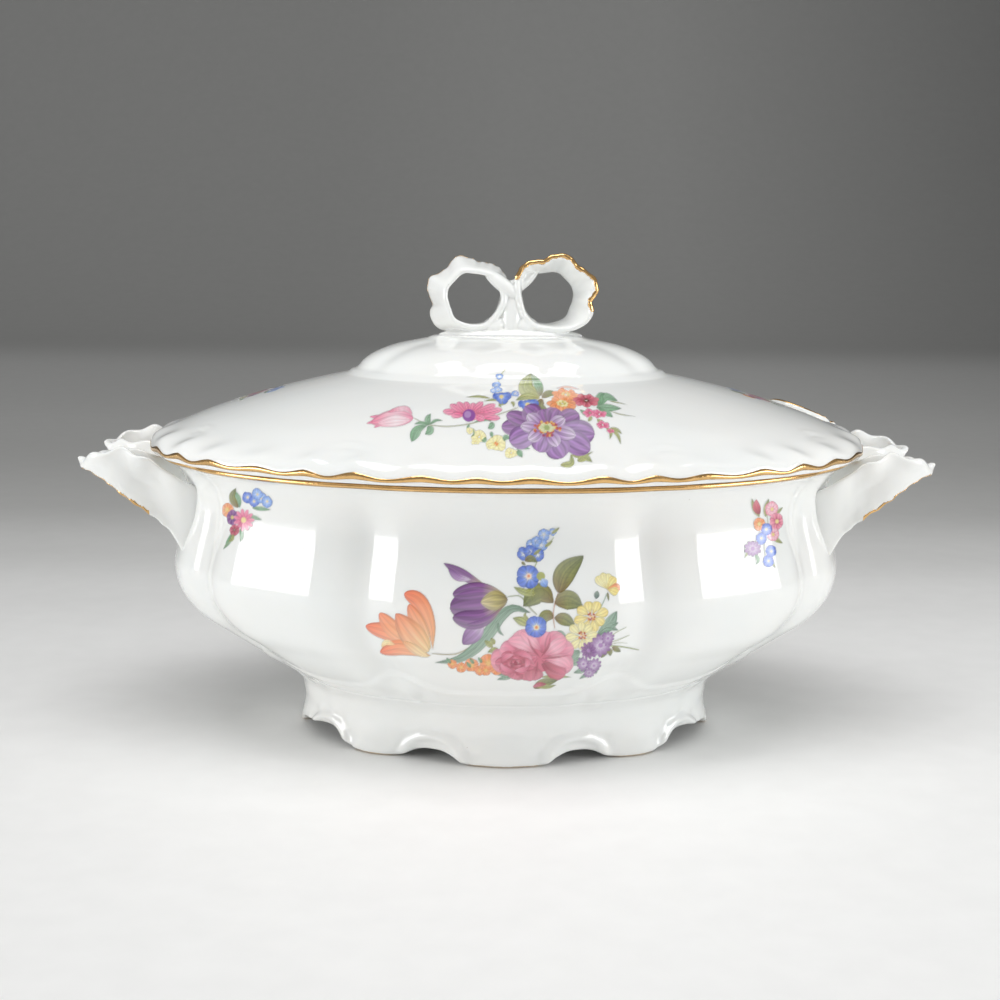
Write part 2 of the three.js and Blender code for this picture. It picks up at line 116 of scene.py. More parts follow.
# The foot's lower edge in each quarter: degrees round the oval, height off the table.
FOOT_EDGE = [
    (-6, 0.1), (0, 0), (5, 0.5), (9, 2.6), (14, 4.4), (22, 5.6), (30, 6.6), (36, 6.6), (39.5, 5.2),
    (42, 2.6), (45, 0.9), (49, 0.1), (55, 0), (59.5, 0.4), (62.5, 1.7), (66, 3.8), (69.5, 4.6), (73, 4.4),
    (76, 2.9), (78.6, 1.2), (81.4, 0.2), (86, 0), (94, 0),
]
LID_OUTLINE = [
    (0, 161.2, 0), (18, 161.2, 0), (27, 161.1, 0), (29.6, 160.9, 0), (31.2, 160.1, 0),
    (34, 159.6, 0), (45, 157.3, 0), (51, 155.3, 0), (55.3, 153.2, 0), (58.4, 151, 0), (60, 149.1, 0),
    (60.9, 147.9, 0), (61.9, 147.5, 0), (62.9, 147.4, 0), (63.7, 146.9, 0), (64.5, 146.1, 0),
    (66.5, 145.5, 0), (75, 143.6, 0), (84, 141.5, 0), (97, 138.1, 0), (110, 134.2, 0),
    (121, 130.5, 0), (131, 126.5, 0), (137, 124, 0), (140.5, 122.5, 0), (142.6, 121.3, 0),
    (143.9, 120, 0), (144.6, 118.7, 0), (144.9, 117.6, 0), (144.8, 116.6, 0), (144.7, 115.6, 0.1),
    (144.2, 114.9, 0.6), (143.3, 114.7, 1.4), (138.6, 114.7, 6), (137.2, 115.4, 5), (135, 120.4, 4),
    (130, 122.6, 4), (124.9, 124.6, 4), (120.4, 126.3, 4), (110, 130, 4), (98, 133.6, 4),
    (80, 138.3, 4), (66, 141.2, 4), (60.5, 142.9, 4), (57.5, 145, 4), (52, 150.5, 4), (42, 154.2, 4),
    (30, 156.6, 4), (15, 157.1, 4), (0, 157.2, 4),
]
FLANGE_OUTLINE = [
    (124.5, 125.2, 4), (124.5, 115, 4), (124.5, 107.2, 4), (124.2, 106.4, 4.3), (123.5, 106, 5),
    (121.8, 106, 6.7), (121.1, 106.4, 7.4), (120.8, 107.2, 7.7), (120.8, 115, 7.7), (120.8, 126.4, 7.7),
]
NOTCH_CENTRE = (131.3, 42.2)
NOTCH_TURN = math.radians(34)
NOTCH_DEPTH = 17.0
NOTCH_HALF_WIDTH = 13.5
# The notch's cutter: how far it reaches out past the rim, the height of its middle, and its own height.
NOTCH_CUT_REACH = 30.0
NOTCH_CUT_Z = 130.0
NOTCH_CUT_HEIGHT = 60.0

FINIAL_X = 1.2
LOOP_X = 14.7
LOOP_Z = 175.8
# The loops' wide edges: degrees round the loop from its outer side, and reach from its middle.
FLARE_RIGHT = [
    (-41, 17.8), (-27, 19.6), (-16, 20.1), (-8, 19.2), (-2, 18.4), (5, 20.2), (13, 21.8), (22, 22.0),
    (32, 20.9), (47, 19.2), (61, 20.2), (73, 19.9), (83, 18.7), (91, 17.2), (101, 16.6), (112, 17.5),
    (124, 17.6), (142, 16.4), (165, 13.4), (190, 12), (215, 12.4), (240, 12.8), (270, 12.8), (295, 14.6),
]
FLARE_LEFT = [
    (-40, 20.1), (-32, 20.6), (-19, 20.1), (-10, 17.8), (2, 19), (13, 20.4), (21, 20.8), (31, 18.6),
    (45, 16.8), (57, 18), (68, 18.4), (84, 16.2), (93, 15), (103, 15), (112, 15.4), (124, 16), (135, 16),
    (150, 15.4), (170, 13), (190, 12), (215, 12.4), (240, 12.8), (270, 13), (297, 16),
]
HOLE_RADII = (9.7, 10.1, 9.9, 10.3, 9.6, 9.8, 10.5, 10.2, 10.8, 10, 9.7, 10.2, 9.9, 9.7, 9.9, 9.1)

HANDLE_TOP = [
    (122, -32, 103), (134, -35, 110.4), (142, -35.5, 115.4), (150, -35, 118.4), (158, -33, 117.2),
    (166, -29, 114.6), (168.4, -24, 113.2), (165, -18.5, 113.8), (157, -14, 115), (147, -10.5, 114),
    (137, -7, 111), (124, -4, 106), (116, -10, 103), (115, -22, 101),
]
HANDLE_BOTTOM = [
    (125, -25, 70), (133.6, -30, 84.6), (141, -33, 92), (150.5, -33.5, 99), (158, -32, 105),
    (165.6, -28.6, 109), (167.6, -24, 108.6), (163.6, -18.5, 106.4), (155.5, -14, 102),
    (146.5, -10.5, 96.5), (137.5, -7, 90), (124, -4, 82), (116, -10, 80), (116, -20, 78),
]


# ---- Settings a user may change ----

class TureenSizes(bpy.types.PropertyGroup):
    groove_depth: bpy.props.FloatProperty(
        name="Groove depth", description="Depth of the bowl's upright grooves", default=3.6 * MM,
        min=0.0, max=0.006, unit="LENGTH", precision=4)
    dome_groove_depth: bpy.props.FloatProperty(
        name="Dome groove depth", description="Depth of the grooves in the lid's dome",
        default=2.1 * MM, min=0.0, max=0.004, unit="LENGTH", precision=4)
    scallop: bpy.props.FloatProperty(
        name="Scallop", description="Half of the wave of the lid's edge", default=0.9 * MM,
        min=0.0, max=0.002, unit="LENGTH", precision=4)
    gold_thickness: bpy.props.FloatProperty(
        name="Gold thickness", description="How far the gold stands above the glaze",
        default=0.1 * MM, min=0.00002, max=0.0004, unit="LENGTH", precision=5)
    print_grain: bpy.props.FloatProperty(
        name="Print grain", description="Width of the smallest patch of colour in the prints",
        default=0.3 * MM, min=0.0001, max=0.001, unit="LENGTH", precision=5)


class TureenColours(bpy.types.PropertyGroup):
    glaze: bpy.props.FloatVectorProperty(
        name="Glaze", description="Colour of the porcelain under its glaze",
        default=(0.875, 0.877, 0.854), size=3, min=0.0, max=1.0, subtype="COLOR")
    biscuit: bpy.props.FloatVectorProperty(
        name="Biscuit", description="Colour of the unglazed edge under the foot",
        default=(0.62, 0.5, 0.36), size=3, min=0.0, max=1.0, subtype="COLOR")
    gold: bpy.props.FloatVectorProperty(
        name="Gold", description="Colour of the burnished gold", default=(0.7, 0.43, 0.17),
        size=3, min=0.0, max=1.0, subtype="COLOR")
    floor: bpy.props.FloatVectorProperty(
        name="Floor", description="Colour of the table and backdrop", default=(0.9, 0.9, 0.89),
        size=3, min=0.0, max=1.0, subtype="COLOR")


class StudioSettings(bpy.types.PropertyGroup):
    lens: bpy.props.FloatProperty(
        name="Lens", description="Focal length of the camera", default=63.0, min=20.0, max=200.0,
        unit="CAMERA")
    distance: bpy.props.FloatProperty(
        name="Distance", description="From the camera to the tureen's middle", default=0.723,
        min=0.3, max=3.0, unit="LENGTH")
    elevation: bpy.props.FloatProperty(
        name="Elevation", description="How far the camera looks down", default=math.radians(9.9),
        min=0.0, max=math.radians(80), unit="ROTATION", subtype="ANGLE")
    side_light: bpy.props.FloatProperty(
        name="Side light", description="Power of each side softbox in watts", default=4.6,
        min=0.0, max=200.0)
    top_light: bpy.props.FloatProperty(
        name="Top light", description="Power of the softbox overhead in watts", default=7.6,
        min=0.0, max=200.0)
    fill_light: bpy.props.FloatProperty(
        name="Fill light", description="Power of the low light for the underside in watts",
        default=0.22, min=0.0, max=50.0)


def sizes():
    return bpy.context.scene.tureen_sizes


def colours():
    return bpy.context.scene.tureen_colours


# ---- Curves and surfaces ----

def smooth(value, low, high):
    t = np.clip((value - low) / (high - low), 0.0, 1.0)
    return t * t * (3.0 - 2.0 * t)


def even_angle(share):
    """The angle round the oval at a share of its edge's length."""
    fine = np.linspace(0.0, 2.0 * math.pi, 3601)
    middle = (fine[1:] + fine[:-1]) / 2.0
    pieces = np.hypot(np.sin(middle), BODY_RATIO * np.cos(middle))
    lengths = np.concatenate([[0.0], np.cumsum(pieces)])
    return np.interp(share, lengths / lengths[-1], fine)


def bells(angle, places, half_width, length, ratio):
    """A bell shape at each of the places, mirrored into all four quarters of the oval."""
    quarter = np.arctan2(np.abs(np.sin(angle)), np.abs(np.cos(angle)))
    total = np.zeros_like(quarter)
    for place in places:
        middle = math.radians(place)
        speed = length * np.hypot(math.sin(middle), ratio * math.cos(middle))
        total += np.exp(-(((quarter - middle) * speed / half_width) ** 2))
    return total


def oval_point(r, z, angle, ratio, inset, sink):
    across = ratio * (r + inset) - inset
    nx, ny = np.cos(angle) * ratio, np.sin(angle)
    size = np.hypot(nx, ny)
    x = r * np.cos(angle) - nx / size * sink
    y = np.maximum(across, 0.0) * np.sin(angle) - ny / size * sink
    return np.stack([x, y, z], -1)


def ratio_at(z):
    return FOOT_RATIO + (BODY_RATIO - FOOT_RATIO) * smooth(z, 24.0, 56.0)


def bowl_point(r, z, inset, share):
    """The bowl: a lobed oval with upright grooves, and a soft wavy step low on its outside."""
    angle = even_angle(share)
    ratio = ratio_at(z)
    high = 1.0 - smooth(z, 96.0, 114.3) * 0.8
    low = smooth(z, 19.0, 40.0)
    middle = smooth(r, 40.0, 90.0)
    depth = sizes().groove_depth / MM * high * (0.35 + 0.65 * low) * middle
    sink = depth * bells(angle, BODY_GROOVES, 9.0, np.maximum(r, 1.0), ratio)
    swelling = bells(angle, (17.0, 39.0, 57.0, 77.0), 9.0, np.maximum(r, 1.0), ratio)
    shoulder = 0.5 * high * middle * low * swelling
    crest = 31.0 + 7.5 * bells(angle, BODY_GROOVES, 11.0, 100.0, ratio) + 2.0 * np.abs(np.cos(angle * 2.0))
    outside = inset < 1.0
    step = 1.05 * smooth(crest - z, 0.0, 1.6) * smooth(z, 20.0, 26.0) * outside
    shown = smooth(z, 20, 26) * smooth(-z, -37, -29) * outside
    ridge = 1.5 * bells(angle, BODY_GROOVES, 4.5, 95.0, ratio) * shown
    return oval_point(r, z, angle, ratio, inset, sink - shoulder - step - ridge)


def foot_point(r, z, inset, share):
    """The foot: a scalloped lower edge under moulded hoods, running up into the bowl's own shape."""
    angle = even_angle(share)
    quarter = np.degrees(np.arctan2(np.abs(np.sin(angle)), np.abs(np.cos(angle))))
    edge = open_curve(FOOT_EDGE, 400)
    lift = np.interp(quarter, edge[:, 0], edge[:, 1]) * np.maximum(0.0, 1.0 - z / 15.0)
    height = z + lift
    outside = (inset < 1.5) * smooth(-z, -19.0, -14.0)
    relief = np.zeros_like(quarter)
    for place, half in zip(ARCHES, HOOD_HALF_ANGLES):
        ring = np.hypot((quarter - place) / half, (height - 1.5) / 8.6)
        relief += 1.35 * np.exp(-(((ring - 1.0) / 0.19) ** 2)) - 1.1 * np.exp(-((ring / 0.72) ** 4))
        fan = np.arctan2(height, (quarter - place) * 1.2)
        relief += 0.4 * np.cos(fan * 9.0) * np.exp(-(((ring - 1.42) / 0.2) ** 2))
        relief -= 0.3 * np.exp(-(((ring - 1.3) / 0.1) ** 2))
    lobe = 1.9 * bells(angle, (51.0, 90.0), 10.0, 85.0, FOOT_RATIO) * smooth(-z, -16.0, -6.0)
    ratio = FOOT_RATIO - 0.045 * smooth(-quarter, -80.0, -62.0) * smooth(-z, -14.0, -2.0)
    plain = oval_point(r, z, angle, ratio, inset, -relief * outside - lobe * (inset < 6.5) + 0.6)
    follow = bowl_point(r, z, inset, share)
    mix = smooth(z, 8.0, 19.0)[..., None]
    point = plain * (1 - mix) + follow * mix
    point[..., 2] = height
    return point


def lid_wave(share):
    """Broad scallops, a little uneven: 1 is out and low, -1 is in and high."""
    turn = share * SCALLOPS * 2.0 * math.pi
    drift = turn + 0.7 * np.sin(turn / 3.0 + 1.0) * np.sin(share * 2 * math.pi) ** 2
    uneven = 0.85 + 0.25 * np.sin(turn * 0.25 + 0.8)
    return uneven * (0.7 * np.cos(drift) + 0.3 * (2.0 * np.abs(np.cos(drift / 2.0)) - 1.0))


def lid_point(r, z, inset, share):
    """The lid: a waved rim over a level lower edge, and a grooved dome on its platform."""
    angle = even_angle(share)
    wave = lid_wave(share)
    swing = sizes().scallop / MM * wave * smooth(r, 132.0, 143.0)
    level = smooth(z, 114.9, 118.4) * (inset < 2.0)
    flutes = 0.05 * wave * smooth(r, 126.0, 138.0) * (inset < 0.5)
    scroll = bells(angle, (26.0, 64.0), 6.0, 131.0, BODY_RATIO)
    ring = np.exp(-(((r - 131.0) / 3.0) ** 2)) * (inset < 0.5)
    curl = 0.45 * scroll * ring * np.cos((r - 131.0) * 1.1 + 3.0 * scroll)
    on_dome = 1.0 - smooth(r, 56.0, 64.0)
    off_top = smooth(r, 29.0, 42.0)
    groove = bells(angle, DOME_GROOVES, 6.0, np.maximum(r, 1.0), BODY_RATIO)
    sink = sizes().dome_groove_depth / MM * on_dome * off_top * groove - 0.3 * swing
    platform = -0.9 * np.exp(-(((r - 29.5) / 3.0) ** 2)) * (1.0 - 1.6 * groove) * (inset < 0.5)
    height = z - swing * level - flutes + curl
    return oval_point(r, height, angle, BODY_RATIO, inset, sink + platform)


def plain_point(r, z, inset, share):
    return oval_point(r, z, even_angle(share), BODY_RATIO, inset, 0.0)


def open_curve(points, count):
    """Evenly shared points on a smooth open curve through the given ones."""
    points = np.array(points, float)
    first = 2 * points[0] - points[1]
    last = 2 * points[-1] - points[-2]
    return spline(np.vstack([first, points, last]), np.linspace(0, len(points) - 1, count), False)


def closed_curve(points, t):
    """Points at shares t of a smooth closed curve through the given ones."""
    points = np.array(points, float)
    return spline(points, (np.asarray(t) % 1.0) * len(points), True)


def spline(points, at, closed):
    """Centripetal Catmull-Rom curve, so that it never loops between its points."""
    total = len(points)
    step = np.floor(at).astype(int)
    if closed:
        picks = [(step + shift) % total for shift in (-1, 0, 1, 2)]
    else:
        step = np.minimum(step, total - 4)
        picks = [step + shift for shift in (0, 1, 2, 3)]
    a, b, c, d = (points[pick] for pick in picks)
    gaps = [np.maximum(np.linalg.norm(q - p, axis=-1, keepdims=True) ** 0.5, 1e-6)
            for p, q in ((a, b), (b, c), (c, d))]
    leave = ((b - a) / gaps[0] - (c - a) / (gaps[0] + gaps[1]) + (c - b) / gaps[1]) * gaps[1]
    reach = ((c - b) / gaps[1] - (d - b) / (gaps[1] + gaps[2]) + (d - c) / gaps[2]) * gaps[1]
    u = (at - step)[..., None]
    square = -3 * b + 3 * c - 2 * leave - reach
    cube = 2 * b - 2 * c + leave + reach
    return b + leave * u + square * u ** 2 + cube * u ** 3


def fair_outline(outline, gap):
    """The outline as a smooth curve, with a point about every gap millimetres."""
    dense = open_curve(outline, len(outline) * 40)
    along = np.concatenate([[0.0], np.cumsum(np.linalg.norm(np.diff(dense[:, :2], axis=0), axis=1))])
    count = int(along[-1] / gap) + 1
    even = np.linspace(0, along[-1], count)
    return np.stack([np.interp(even, along, dense[:, k]) for k in range(3)], -1)


# ---- Modelling helpers ----

SPIN_WELD = 0.008 * MM


def start_fresh():
    if bpy.context.object and bpy.context.object.mode != "OBJECT":
        bpy.ops.object.mode_set(mode="OBJECT")
    bpy.ops.object.select_all(action="DESELECT")


def only(piece):
    start_fresh()
    piece.select_set(True)
    bpy.context.view_layer.objects.active = piece


def points_of(piece):
    flat = np.empty(len(piece.data.vertices) * 3, np.float32)
    piece.data.vertices.foreach_get("co", flat)
    return flat.reshape(-1, 3).astype(float)


def put_points(piece, points):
    piece.data.vertices.foreach_set("co", np.asarray(points, np.float32).ravel())
    piece.data.update()


def face_outwards(piece):
    only(piece)
    bpy.ops.object.mode_set(mode="EDIT")
    bpy.ops.mesh.select_all(action="SELECT")
    bpy.ops.mesh.normals_make_consistent(inside=False)
    bpy.ops.object.mode_set(mode="OBJECT")


def delete_faces(piece, chosen):
    only(piece)
    bpy.ops.object.mode_set(mode="EDIT")
    bpy.ops.mesh.select_mode(type="FACE")
    bpy.ops.mesh.select_all(action="DESELECT")
    bpy.ops.object.mode_set(mode="OBJECT")
    piece.data.polygons.foreach_set("select", chosen)
    bpy.ops.object.mode_set(mode="EDIT")
    bpy.ops.mesh.delete(type="FACE")
    bpy.ops.object.mode_set(mode="OBJECT")


def apply_modifier(piece, kind, name, **settings):
    only(piece)
    modifier = piece.modifiers.new(name, kind)
    for key, value in settings.items():
        setattr(modifier, key, value)
    bpy.ops.object.modifier_apply(modifier=modifier.name)


def turned_piece(name, outline, steps, place, ring=False):
    """A circle bent to the outline, spun round the upright axis and laid on to the lobed oval."""
    start_fresh()
    bpy.ops.mesh.primitive_circle_add(vertices=len(outline), radius=0.1, fill_type="NOTHING")
    piece = bpy.context.object
    piece.name = piece.data.name = name
    put_points(piece, [(r * MM, 0.0, z * MM) for r, z, _ in outline])
    bpy.ops.object.mode_set(mode="EDIT")
    bpy.ops.mesh.select_mode(type="EDGE")
    bpy.ops.mesh.select_all(action="DESELECT")
    bpy.ops.object.mode_set(mode="OBJECT")
    if not ring:
        ends = {0, len(outline) - 1}
        for edge in piece.data.edges:
            edge.select = set(edge.vertices) == ends
        bpy.ops.object.mode_set(mode="EDIT")
        bpy.ops.mesh.delete(type="EDGE")
        bpy.ops.object.mode_set(mode="OBJECT")
    bpy.ops.object.mode_set(mode="EDIT")
    bpy.ops.mesh.select_mode(type="VERT")
    bpy.ops.mesh.select_all(action="SELECT")
    bpy.ops.mesh.spin(steps=steps, angle=2.0 * math.pi, center=(0, 0, 0), axis=(0, 0, 1))
    bpy.ops.mesh.select_all(action="SELECT")
    bpy.ops.mesh.remove_doubles(threshold=SPIN_WELD)
    bpy.ops.object.mode_set(mode="OBJECT")
    lay_on_oval(piece, outline, place)
    face_outwards(piece)
    bpy.ops.object.shade_smooth()
    return piece


def lay_on_oval(piece, outline, place):
    points = points_of(piece) / MM
    r = np.hypot(points[:, 0], points[:, 1])
    share = (np.arctan2(points[:, 1], points[:, 0]) / (2 * math.pi)) % 1.0
    rows = np.array(outline, float)
    nearest = np.empty(len(points), int)
    for begin in range(0, len(points), 4000):
        part = slice(begin, begin + 4000)
        gap = (r[part, None] - rows[None, :, 0]) ** 2 + (points[part, 2:3] - rows[None, :, 1]) ** 2
        nearest[part] = gap.argmin(1)
    put_points(piece, place(rows[nearest, 0], rows[nearest, 1], rows[nearest, 2], share) * MM)
    row = piece.data.attributes.new("outline_row", "FLOAT", "POINT")
    row.data.foreach_set("value", nearest.astype(np.float32))


def ribbon_ring(name, edge_a, edge_b, wall, steps, sides, ripple):
    """A torus laid out as a closed ribbon: edge_a and edge_b give its edges at shares of a turn."""
    start_fresh()
    bpy.ops.mesh.primitive_torus_add(
        major_segments=steps, minor_segments=sides, major_radius=0.02, minor_radius=0.005)
    piece = bpy.context.object
    piece.name = piece.data.name = name
    points = points_of(piece)
    turn = np.arctan2(points[:, 1], points[:, 0]) / (2 * math.pi) % 1.0
    side = np.arctan2(points[:, 2], np.hypot(points[:, 0], points[:, 1]) - 0.02)
    a, b = edge_a(turn), edge_b(turn)
    middle = (a + b) / 2
    along = edge_a(turn + 0.004) + edge_b(turn + 0.004) - edge_a(turn - 0.004) - edge_b(turn - 0.004)
    half = (a - b) / 2
    normal = np.cross(along, half)
    normal /= np.maximum(np.linalg.norm(normal, axis=1, keepdims=True), 1e-9)
    width = np.sign(np.cos(side)) * np.abs(np.cos(side)) ** 0.6
    depth = np.sign(np.sin(side)) * np.abs(np.sin(side)) ** 0.6
    shift = ripple(turn, width)
    spot = middle + half * width[:, None] + normal * (depth * wall / 2 + shift)[:, None]
    put_points(piece, spot * MM)
    face_outwards(piece)
    return piece


def swollen_ball(name, centre, radii, segments=28, tilt=0.0):
    """A ball stretched to its radii and tilted round Y by so many degrees."""
    start_fresh()
    bpy.ops.mesh.primitive_uv_sphere_add(
        segments=segments, ring_count=segments // 2, radius=1.0, rotation=(0, math.radians(tilt), 0),
        location=[c * MM for c in centre], scale=[r * MM for r in radii])
    ball = bpy.context.object
    ball.name = ball.data.name = name
    bpy.ops.object.transform_apply(location=True, rotation=True, scale=True)
    return ball


def luted_together(name, pieces, voxel, rounds):
    """The soft clay pieces joined into one skin, with their seams smoothed."""
    start_fresh()
    for piece in pieces:
        piece.select_set(True)
    bpy.context.view_layer.objects.active = pieces[0]
    bpy.ops.object.join()
    joined = bpy.context.object
    joined.name = joined.data.name = name
    apply_modifier(joined, "REMESH", "one skin", mode="VOXEL", voxel_size=voxel * MM)
    apply_modifier(joined, "SMOOTH", "smoothed", factor=0.5, iterations=rounds)
    only(joined)
    bpy.ops.object.shade_smooth()
    return joined


def cut_away(piece, cutter):
    before = len(piece.data.vertices)
    apply_modifier(piece, "BOOLEAN", "cut", operation="DIFFERENCE", solver="EXACT", object=cutter)
    if len(piece.data.vertices) < before / 2:
        raise RuntimeError(f"{piece.name}: the cut took most of the piece away")


def drop(piece):
    bpy.data.objects.remove(piece, do_unlink=True)


def finish_piece(piece, body, slot, material, *nodes):
    piece.data.materials.clear()
    piece.data.materials.append(material)
    for attribute in list(piece.data.attributes):
        if attribute.name == "outline_row":
            piece.data.attributes.remove(attribute)
    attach(piece, body)
    if nodes:
        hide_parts(*nodes)
    start_fresh()


def gold_layer(source, name, chosen, body, node):
    """Gold leaf: a copy of the chosen faces of a piece, given a thickness outwards."""
    only(source)
    bpy.ops.object.duplicate()
    layer = bpy.context.object
    layer.name = layer.data.name = name
    mesh = layer.data
    centres = np.empty(len(mesh.polygons) * 3, np.float32)
    mesh.polygons.foreach_get("center", centres)
    normals = np.empty(len(mesh.polygons) * 3, np.float32)
    mesh.polygons.foreach_get("normal", normals)
    keep = chosen(centres.reshape(-1, 3) / MM, normals.reshape(-1, 3), mesh)
    if not keep.any():
        raise RuntimeError(f"{name}: no faces were chosen for the gold")
    delete_faces(layer, ~keep)
    apply_modifier(layer, "SOLIDIFY", "leaf", thickness=sizes().gold_thickness, offset=1.0)
    finish_piece(layer, body, "gilding", gold_material(), node)
    return layer


def face_rows(mesh):
    """The outline row of each face, as the mean over its corners."""
    rows = np.empty(len(mesh.vertices), np.float32)
    mesh.attributes["outline_row"].data.foreach_get("value", rows)
    starts = np.empty(len(mesh.polygons), np.int32)
    mesh.polygons.foreach_get("loop_start", starts)
    corners = np.empty(len(mesh.loops), np.int32)
    mesh.loops.foreach_get("vertex_index", corners)
    return np.add.reduceat(rows[corners], starts) / np.diff(np.append(starts, len(corners)))


# ---- Materials ----

def new_material(name):
    found = bpy.data.materials.get(name)
    if found:
        return found, None
    material = bpy.data.materials.new(name)
    material.use_nodes = True
    return material, material.node_tree


def add(tree, kind, **values):
    node = tree.nodes.new(kind)
    for key, value in values.items():
        if key in node.inputs:
            node.inputs[key].default_value = value
        else:
            setattr(node, key, value)
    return node


def noise(tree, place, scale, detail=3.0, rough=0.5):
    node = add(tree, "ShaderNodeTexNoise", Scale=scale, Detail=detail, Roughness=rough)
    tree.links.new(place, node.inputs["Vector"])
    return node.outputs["Fac"]


def ranged(tree, value, low, high, out_low, out_high):
    node = tree.nodes.new("ShaderNodeMapRange")
    limits = {"From Min": low, "From Max": high, "To Min": out_low, "To Max": out_high}
    for key, number in limits.items():
        node.inputs[key].default_value = number
    tree.links.new(value, node.inputs["Value"])
    return node.outputs["Result"]


def mixed(tree, share, low, high):
    node = tree.nodes.new("ShaderNodeMix")
    node.data_type = "RGBA"
    tree.links.new(share, node.inputs["Factor"])
    for socket, value in ((node.inputs["A"], low), (node.inputs["B"], high)):
        if isinstance(value, bpy.types.NodeSocket):
            tree.links.new(value, socket)
        else:
            socket.default_value = (*value, 1.0)
    return node.outputs["Result"]


def glaze_nodes(tree):
    """The glaze: a faint drift of tone, a few pinholes, and a surface that is never quite flat."""
    shader = tree.nodes["Principled BSDF"]
    place = add(tree, "ShaderNodeTexCoord").outputs["Object"]
    base = tuple(colours().glaze)
    cooler = (base[0] * 0.965, base[1] * 0.985, base[2] * 0.995)
    tone = mixed(tree, ranged(tree, noise(tree, place, 18.0, 4.0), 0.35, 0.65, 0.0, 1.0), base, cooler)
    specks = add(tree, "ShaderNodeTexVoronoi", Scale=55.0)
    tree.links.new(place, specks.inputs["Vector"])
    pinhole = ranged(tree, specks.outputs["Distance"], 0.006, 0.014, 0.7, 0.0)
    colour = mixed(tree, pinhole, tone, (0.42, 0.38, 0.33))
    rough = ranged(tree, noise(tree, place, 140.0, 4.0), 0.3, 0.7, 0.05, 0.11)
    tree.links.new(rough, shader.inputs["Roughness"])
    sway = add(tree, "ShaderNodeBump", Strength=0.16, Distance=0.0012)
    tree.links.new(noise(tree, place, 34.0, 1.5), sway.inputs["Height"])
    peel = add(tree, "ShaderNodeBump", Strength=0.05, Distance=0.0002)
    tree.links.new(noise(tree, place, 420.0, 2.0), peel.inputs["Height"])
    tree.links.new(sway.outputs["Normal"], peel.inputs["Normal"])
    tree.links.new(peel.outputs["Normal"], shader.inputs["Normal"])
    shader.inputs["IOR"].default_value = 1.5
    shader.inputs["Coat Weight"].default_value = 0.35
    shader.inputs["Coat Roughness"].default_value = 0.03
    shader.inputs["Subsurface Weight"].default_value = 0.12
    shader.inputs["Subsurface Radius"].default_value = (1.0, 0.9, 0.75)
    shader.inputs["Subsurface Scale"].default_value = 0.0018
    return shader, place, colour


def porcelain_material():
    material, tree = new_material("glazed porcelain")
    if tree:
        shader, _, colour = glaze_nodes(tree)
        tree.links.new(colour, shader.inputs["Base Color"])
    return material


def foot_material():
    """The glaze, wiped off to bare biscuit where the foot stands."""
    material, tree = new_material("glazed porcelain with bare foot edge")
    if tree:
        shader, place, colour = glaze_nodes(tree)
        split = add(tree, "ShaderNodeSeparateXYZ")
        tree.links.new(place, split.inputs["Vector"])
        wander = ranged(tree, noise(tree, place, 300.0), 0.3, 0.7, -0.00015, 0.00015)
        height = add(tree, "ShaderNodeMath", operation="ADD")
        tree.links.new(split.outputs["Z"], height.inputs[0])
        tree.links.new(wander, height.inputs[1])
        bare = ranged(tree, height.outputs["Value"], 0.00035, 0.0007, 1.0, 0.0)
        tree.links.new(mixed(tree, bare, colour, tuple(colours().biscuit)), shader.inputs["Base Color"])
    return material


def gold_material():
    material, tree = new_material("burnished gold")
    if tree:
        shader = tree.nodes["Principled BSDF"]
        place = add(tree, "ShaderNodeTexCoord").outputs["Object"]
        base = tuple(colours().gold)
        pale = tuple(min(1.0, c * 1.22 + 0.03) for c in base)
        thin = (base[0] * 0.62, base[1] * 0.5, base[2] * 0.42)
        tone = mixed(tree, ranged(tree, noise(tree, place, 90.0, 3.0), 0.35, 0.65, 0.0, 1.0), base, pale)
        wear = ranged(tree, noise(tree, place, 520.0, 5.0, 0.7), 0.6, 0.74, 0.0, 0.85)
        tree.links.new(mixed(tree, wear, tone, thin), shader.inputs["Base Color"])
        rough = ranged(tree, noise(tree, place, 260.0, 4.0), 0.3, 0.7, 0.08, 0.26)
        tree.links.new(rough, shader.inputs["Roughness"])
        brush = add(tree, "ShaderNodeBump", Strength=0.25, Distance=0.0002)
        tree.links.new(noise(tree, place, 800.0, 3.0), brush.inputs["Height"])
        tree.links.new(brush.outputs["Normal"], shader.inputs["Normal"])
        shader.inputs["Metallic"].default_value = 1.0
    return material


def print_material():
    """Enamel colours fired into the glaze: the paint attribute gives the colour and how much covers."""
    material, tree = new_material("fired flower print")
    if tree:
        shader, _, colour = glaze_nodes(tree)
        paint = add(tree, "ShaderNodeAttribute", attribute_name="paint")
        painted = mixed(tree, paint.outputs["Alpha"], colour, paint.outputs["Color"])
        tree.links.new(painted, shader.inputs["Base Color"])
    return material


# ---- Pieces ----

class TUREEN_OT_bowl(bpy.types.Operator):
    """The lobed bowl, and the gold line round its lip"""
    bl_idname = "tureen.bowl"
    bl_label = "Bowl"

    def execute(self, context):
        outline = fair_outline(BOWL_OUTSIDE, BOWL_GAP)
        bowl = turned_piece("glazed_bowl", outline, BOWL_STEPS, bowl_point)
        reach, height = outline[:, 0], outline[:, 1]
        outer = np.arange(len(outline)) < np.argmax(reach) + 2
        rows = np.flatnonzero(outer & (height > LIP_GOLD_FROM) & (reach > 136))

        def on_lip(centres, normals, mesh):
            row = face_rows(mesh)
            return (row > rows[0]) & (row < rows[-1] + 0.1)

        gold_layer(bowl, "gold_bowl_lip", on_lip, "bowl", "bowl_lip_gilding")
        finish_piece(bowl, "bowl", "porcelain", porcelain_material(), "bowl_shell")
        return {"FINISHED"}


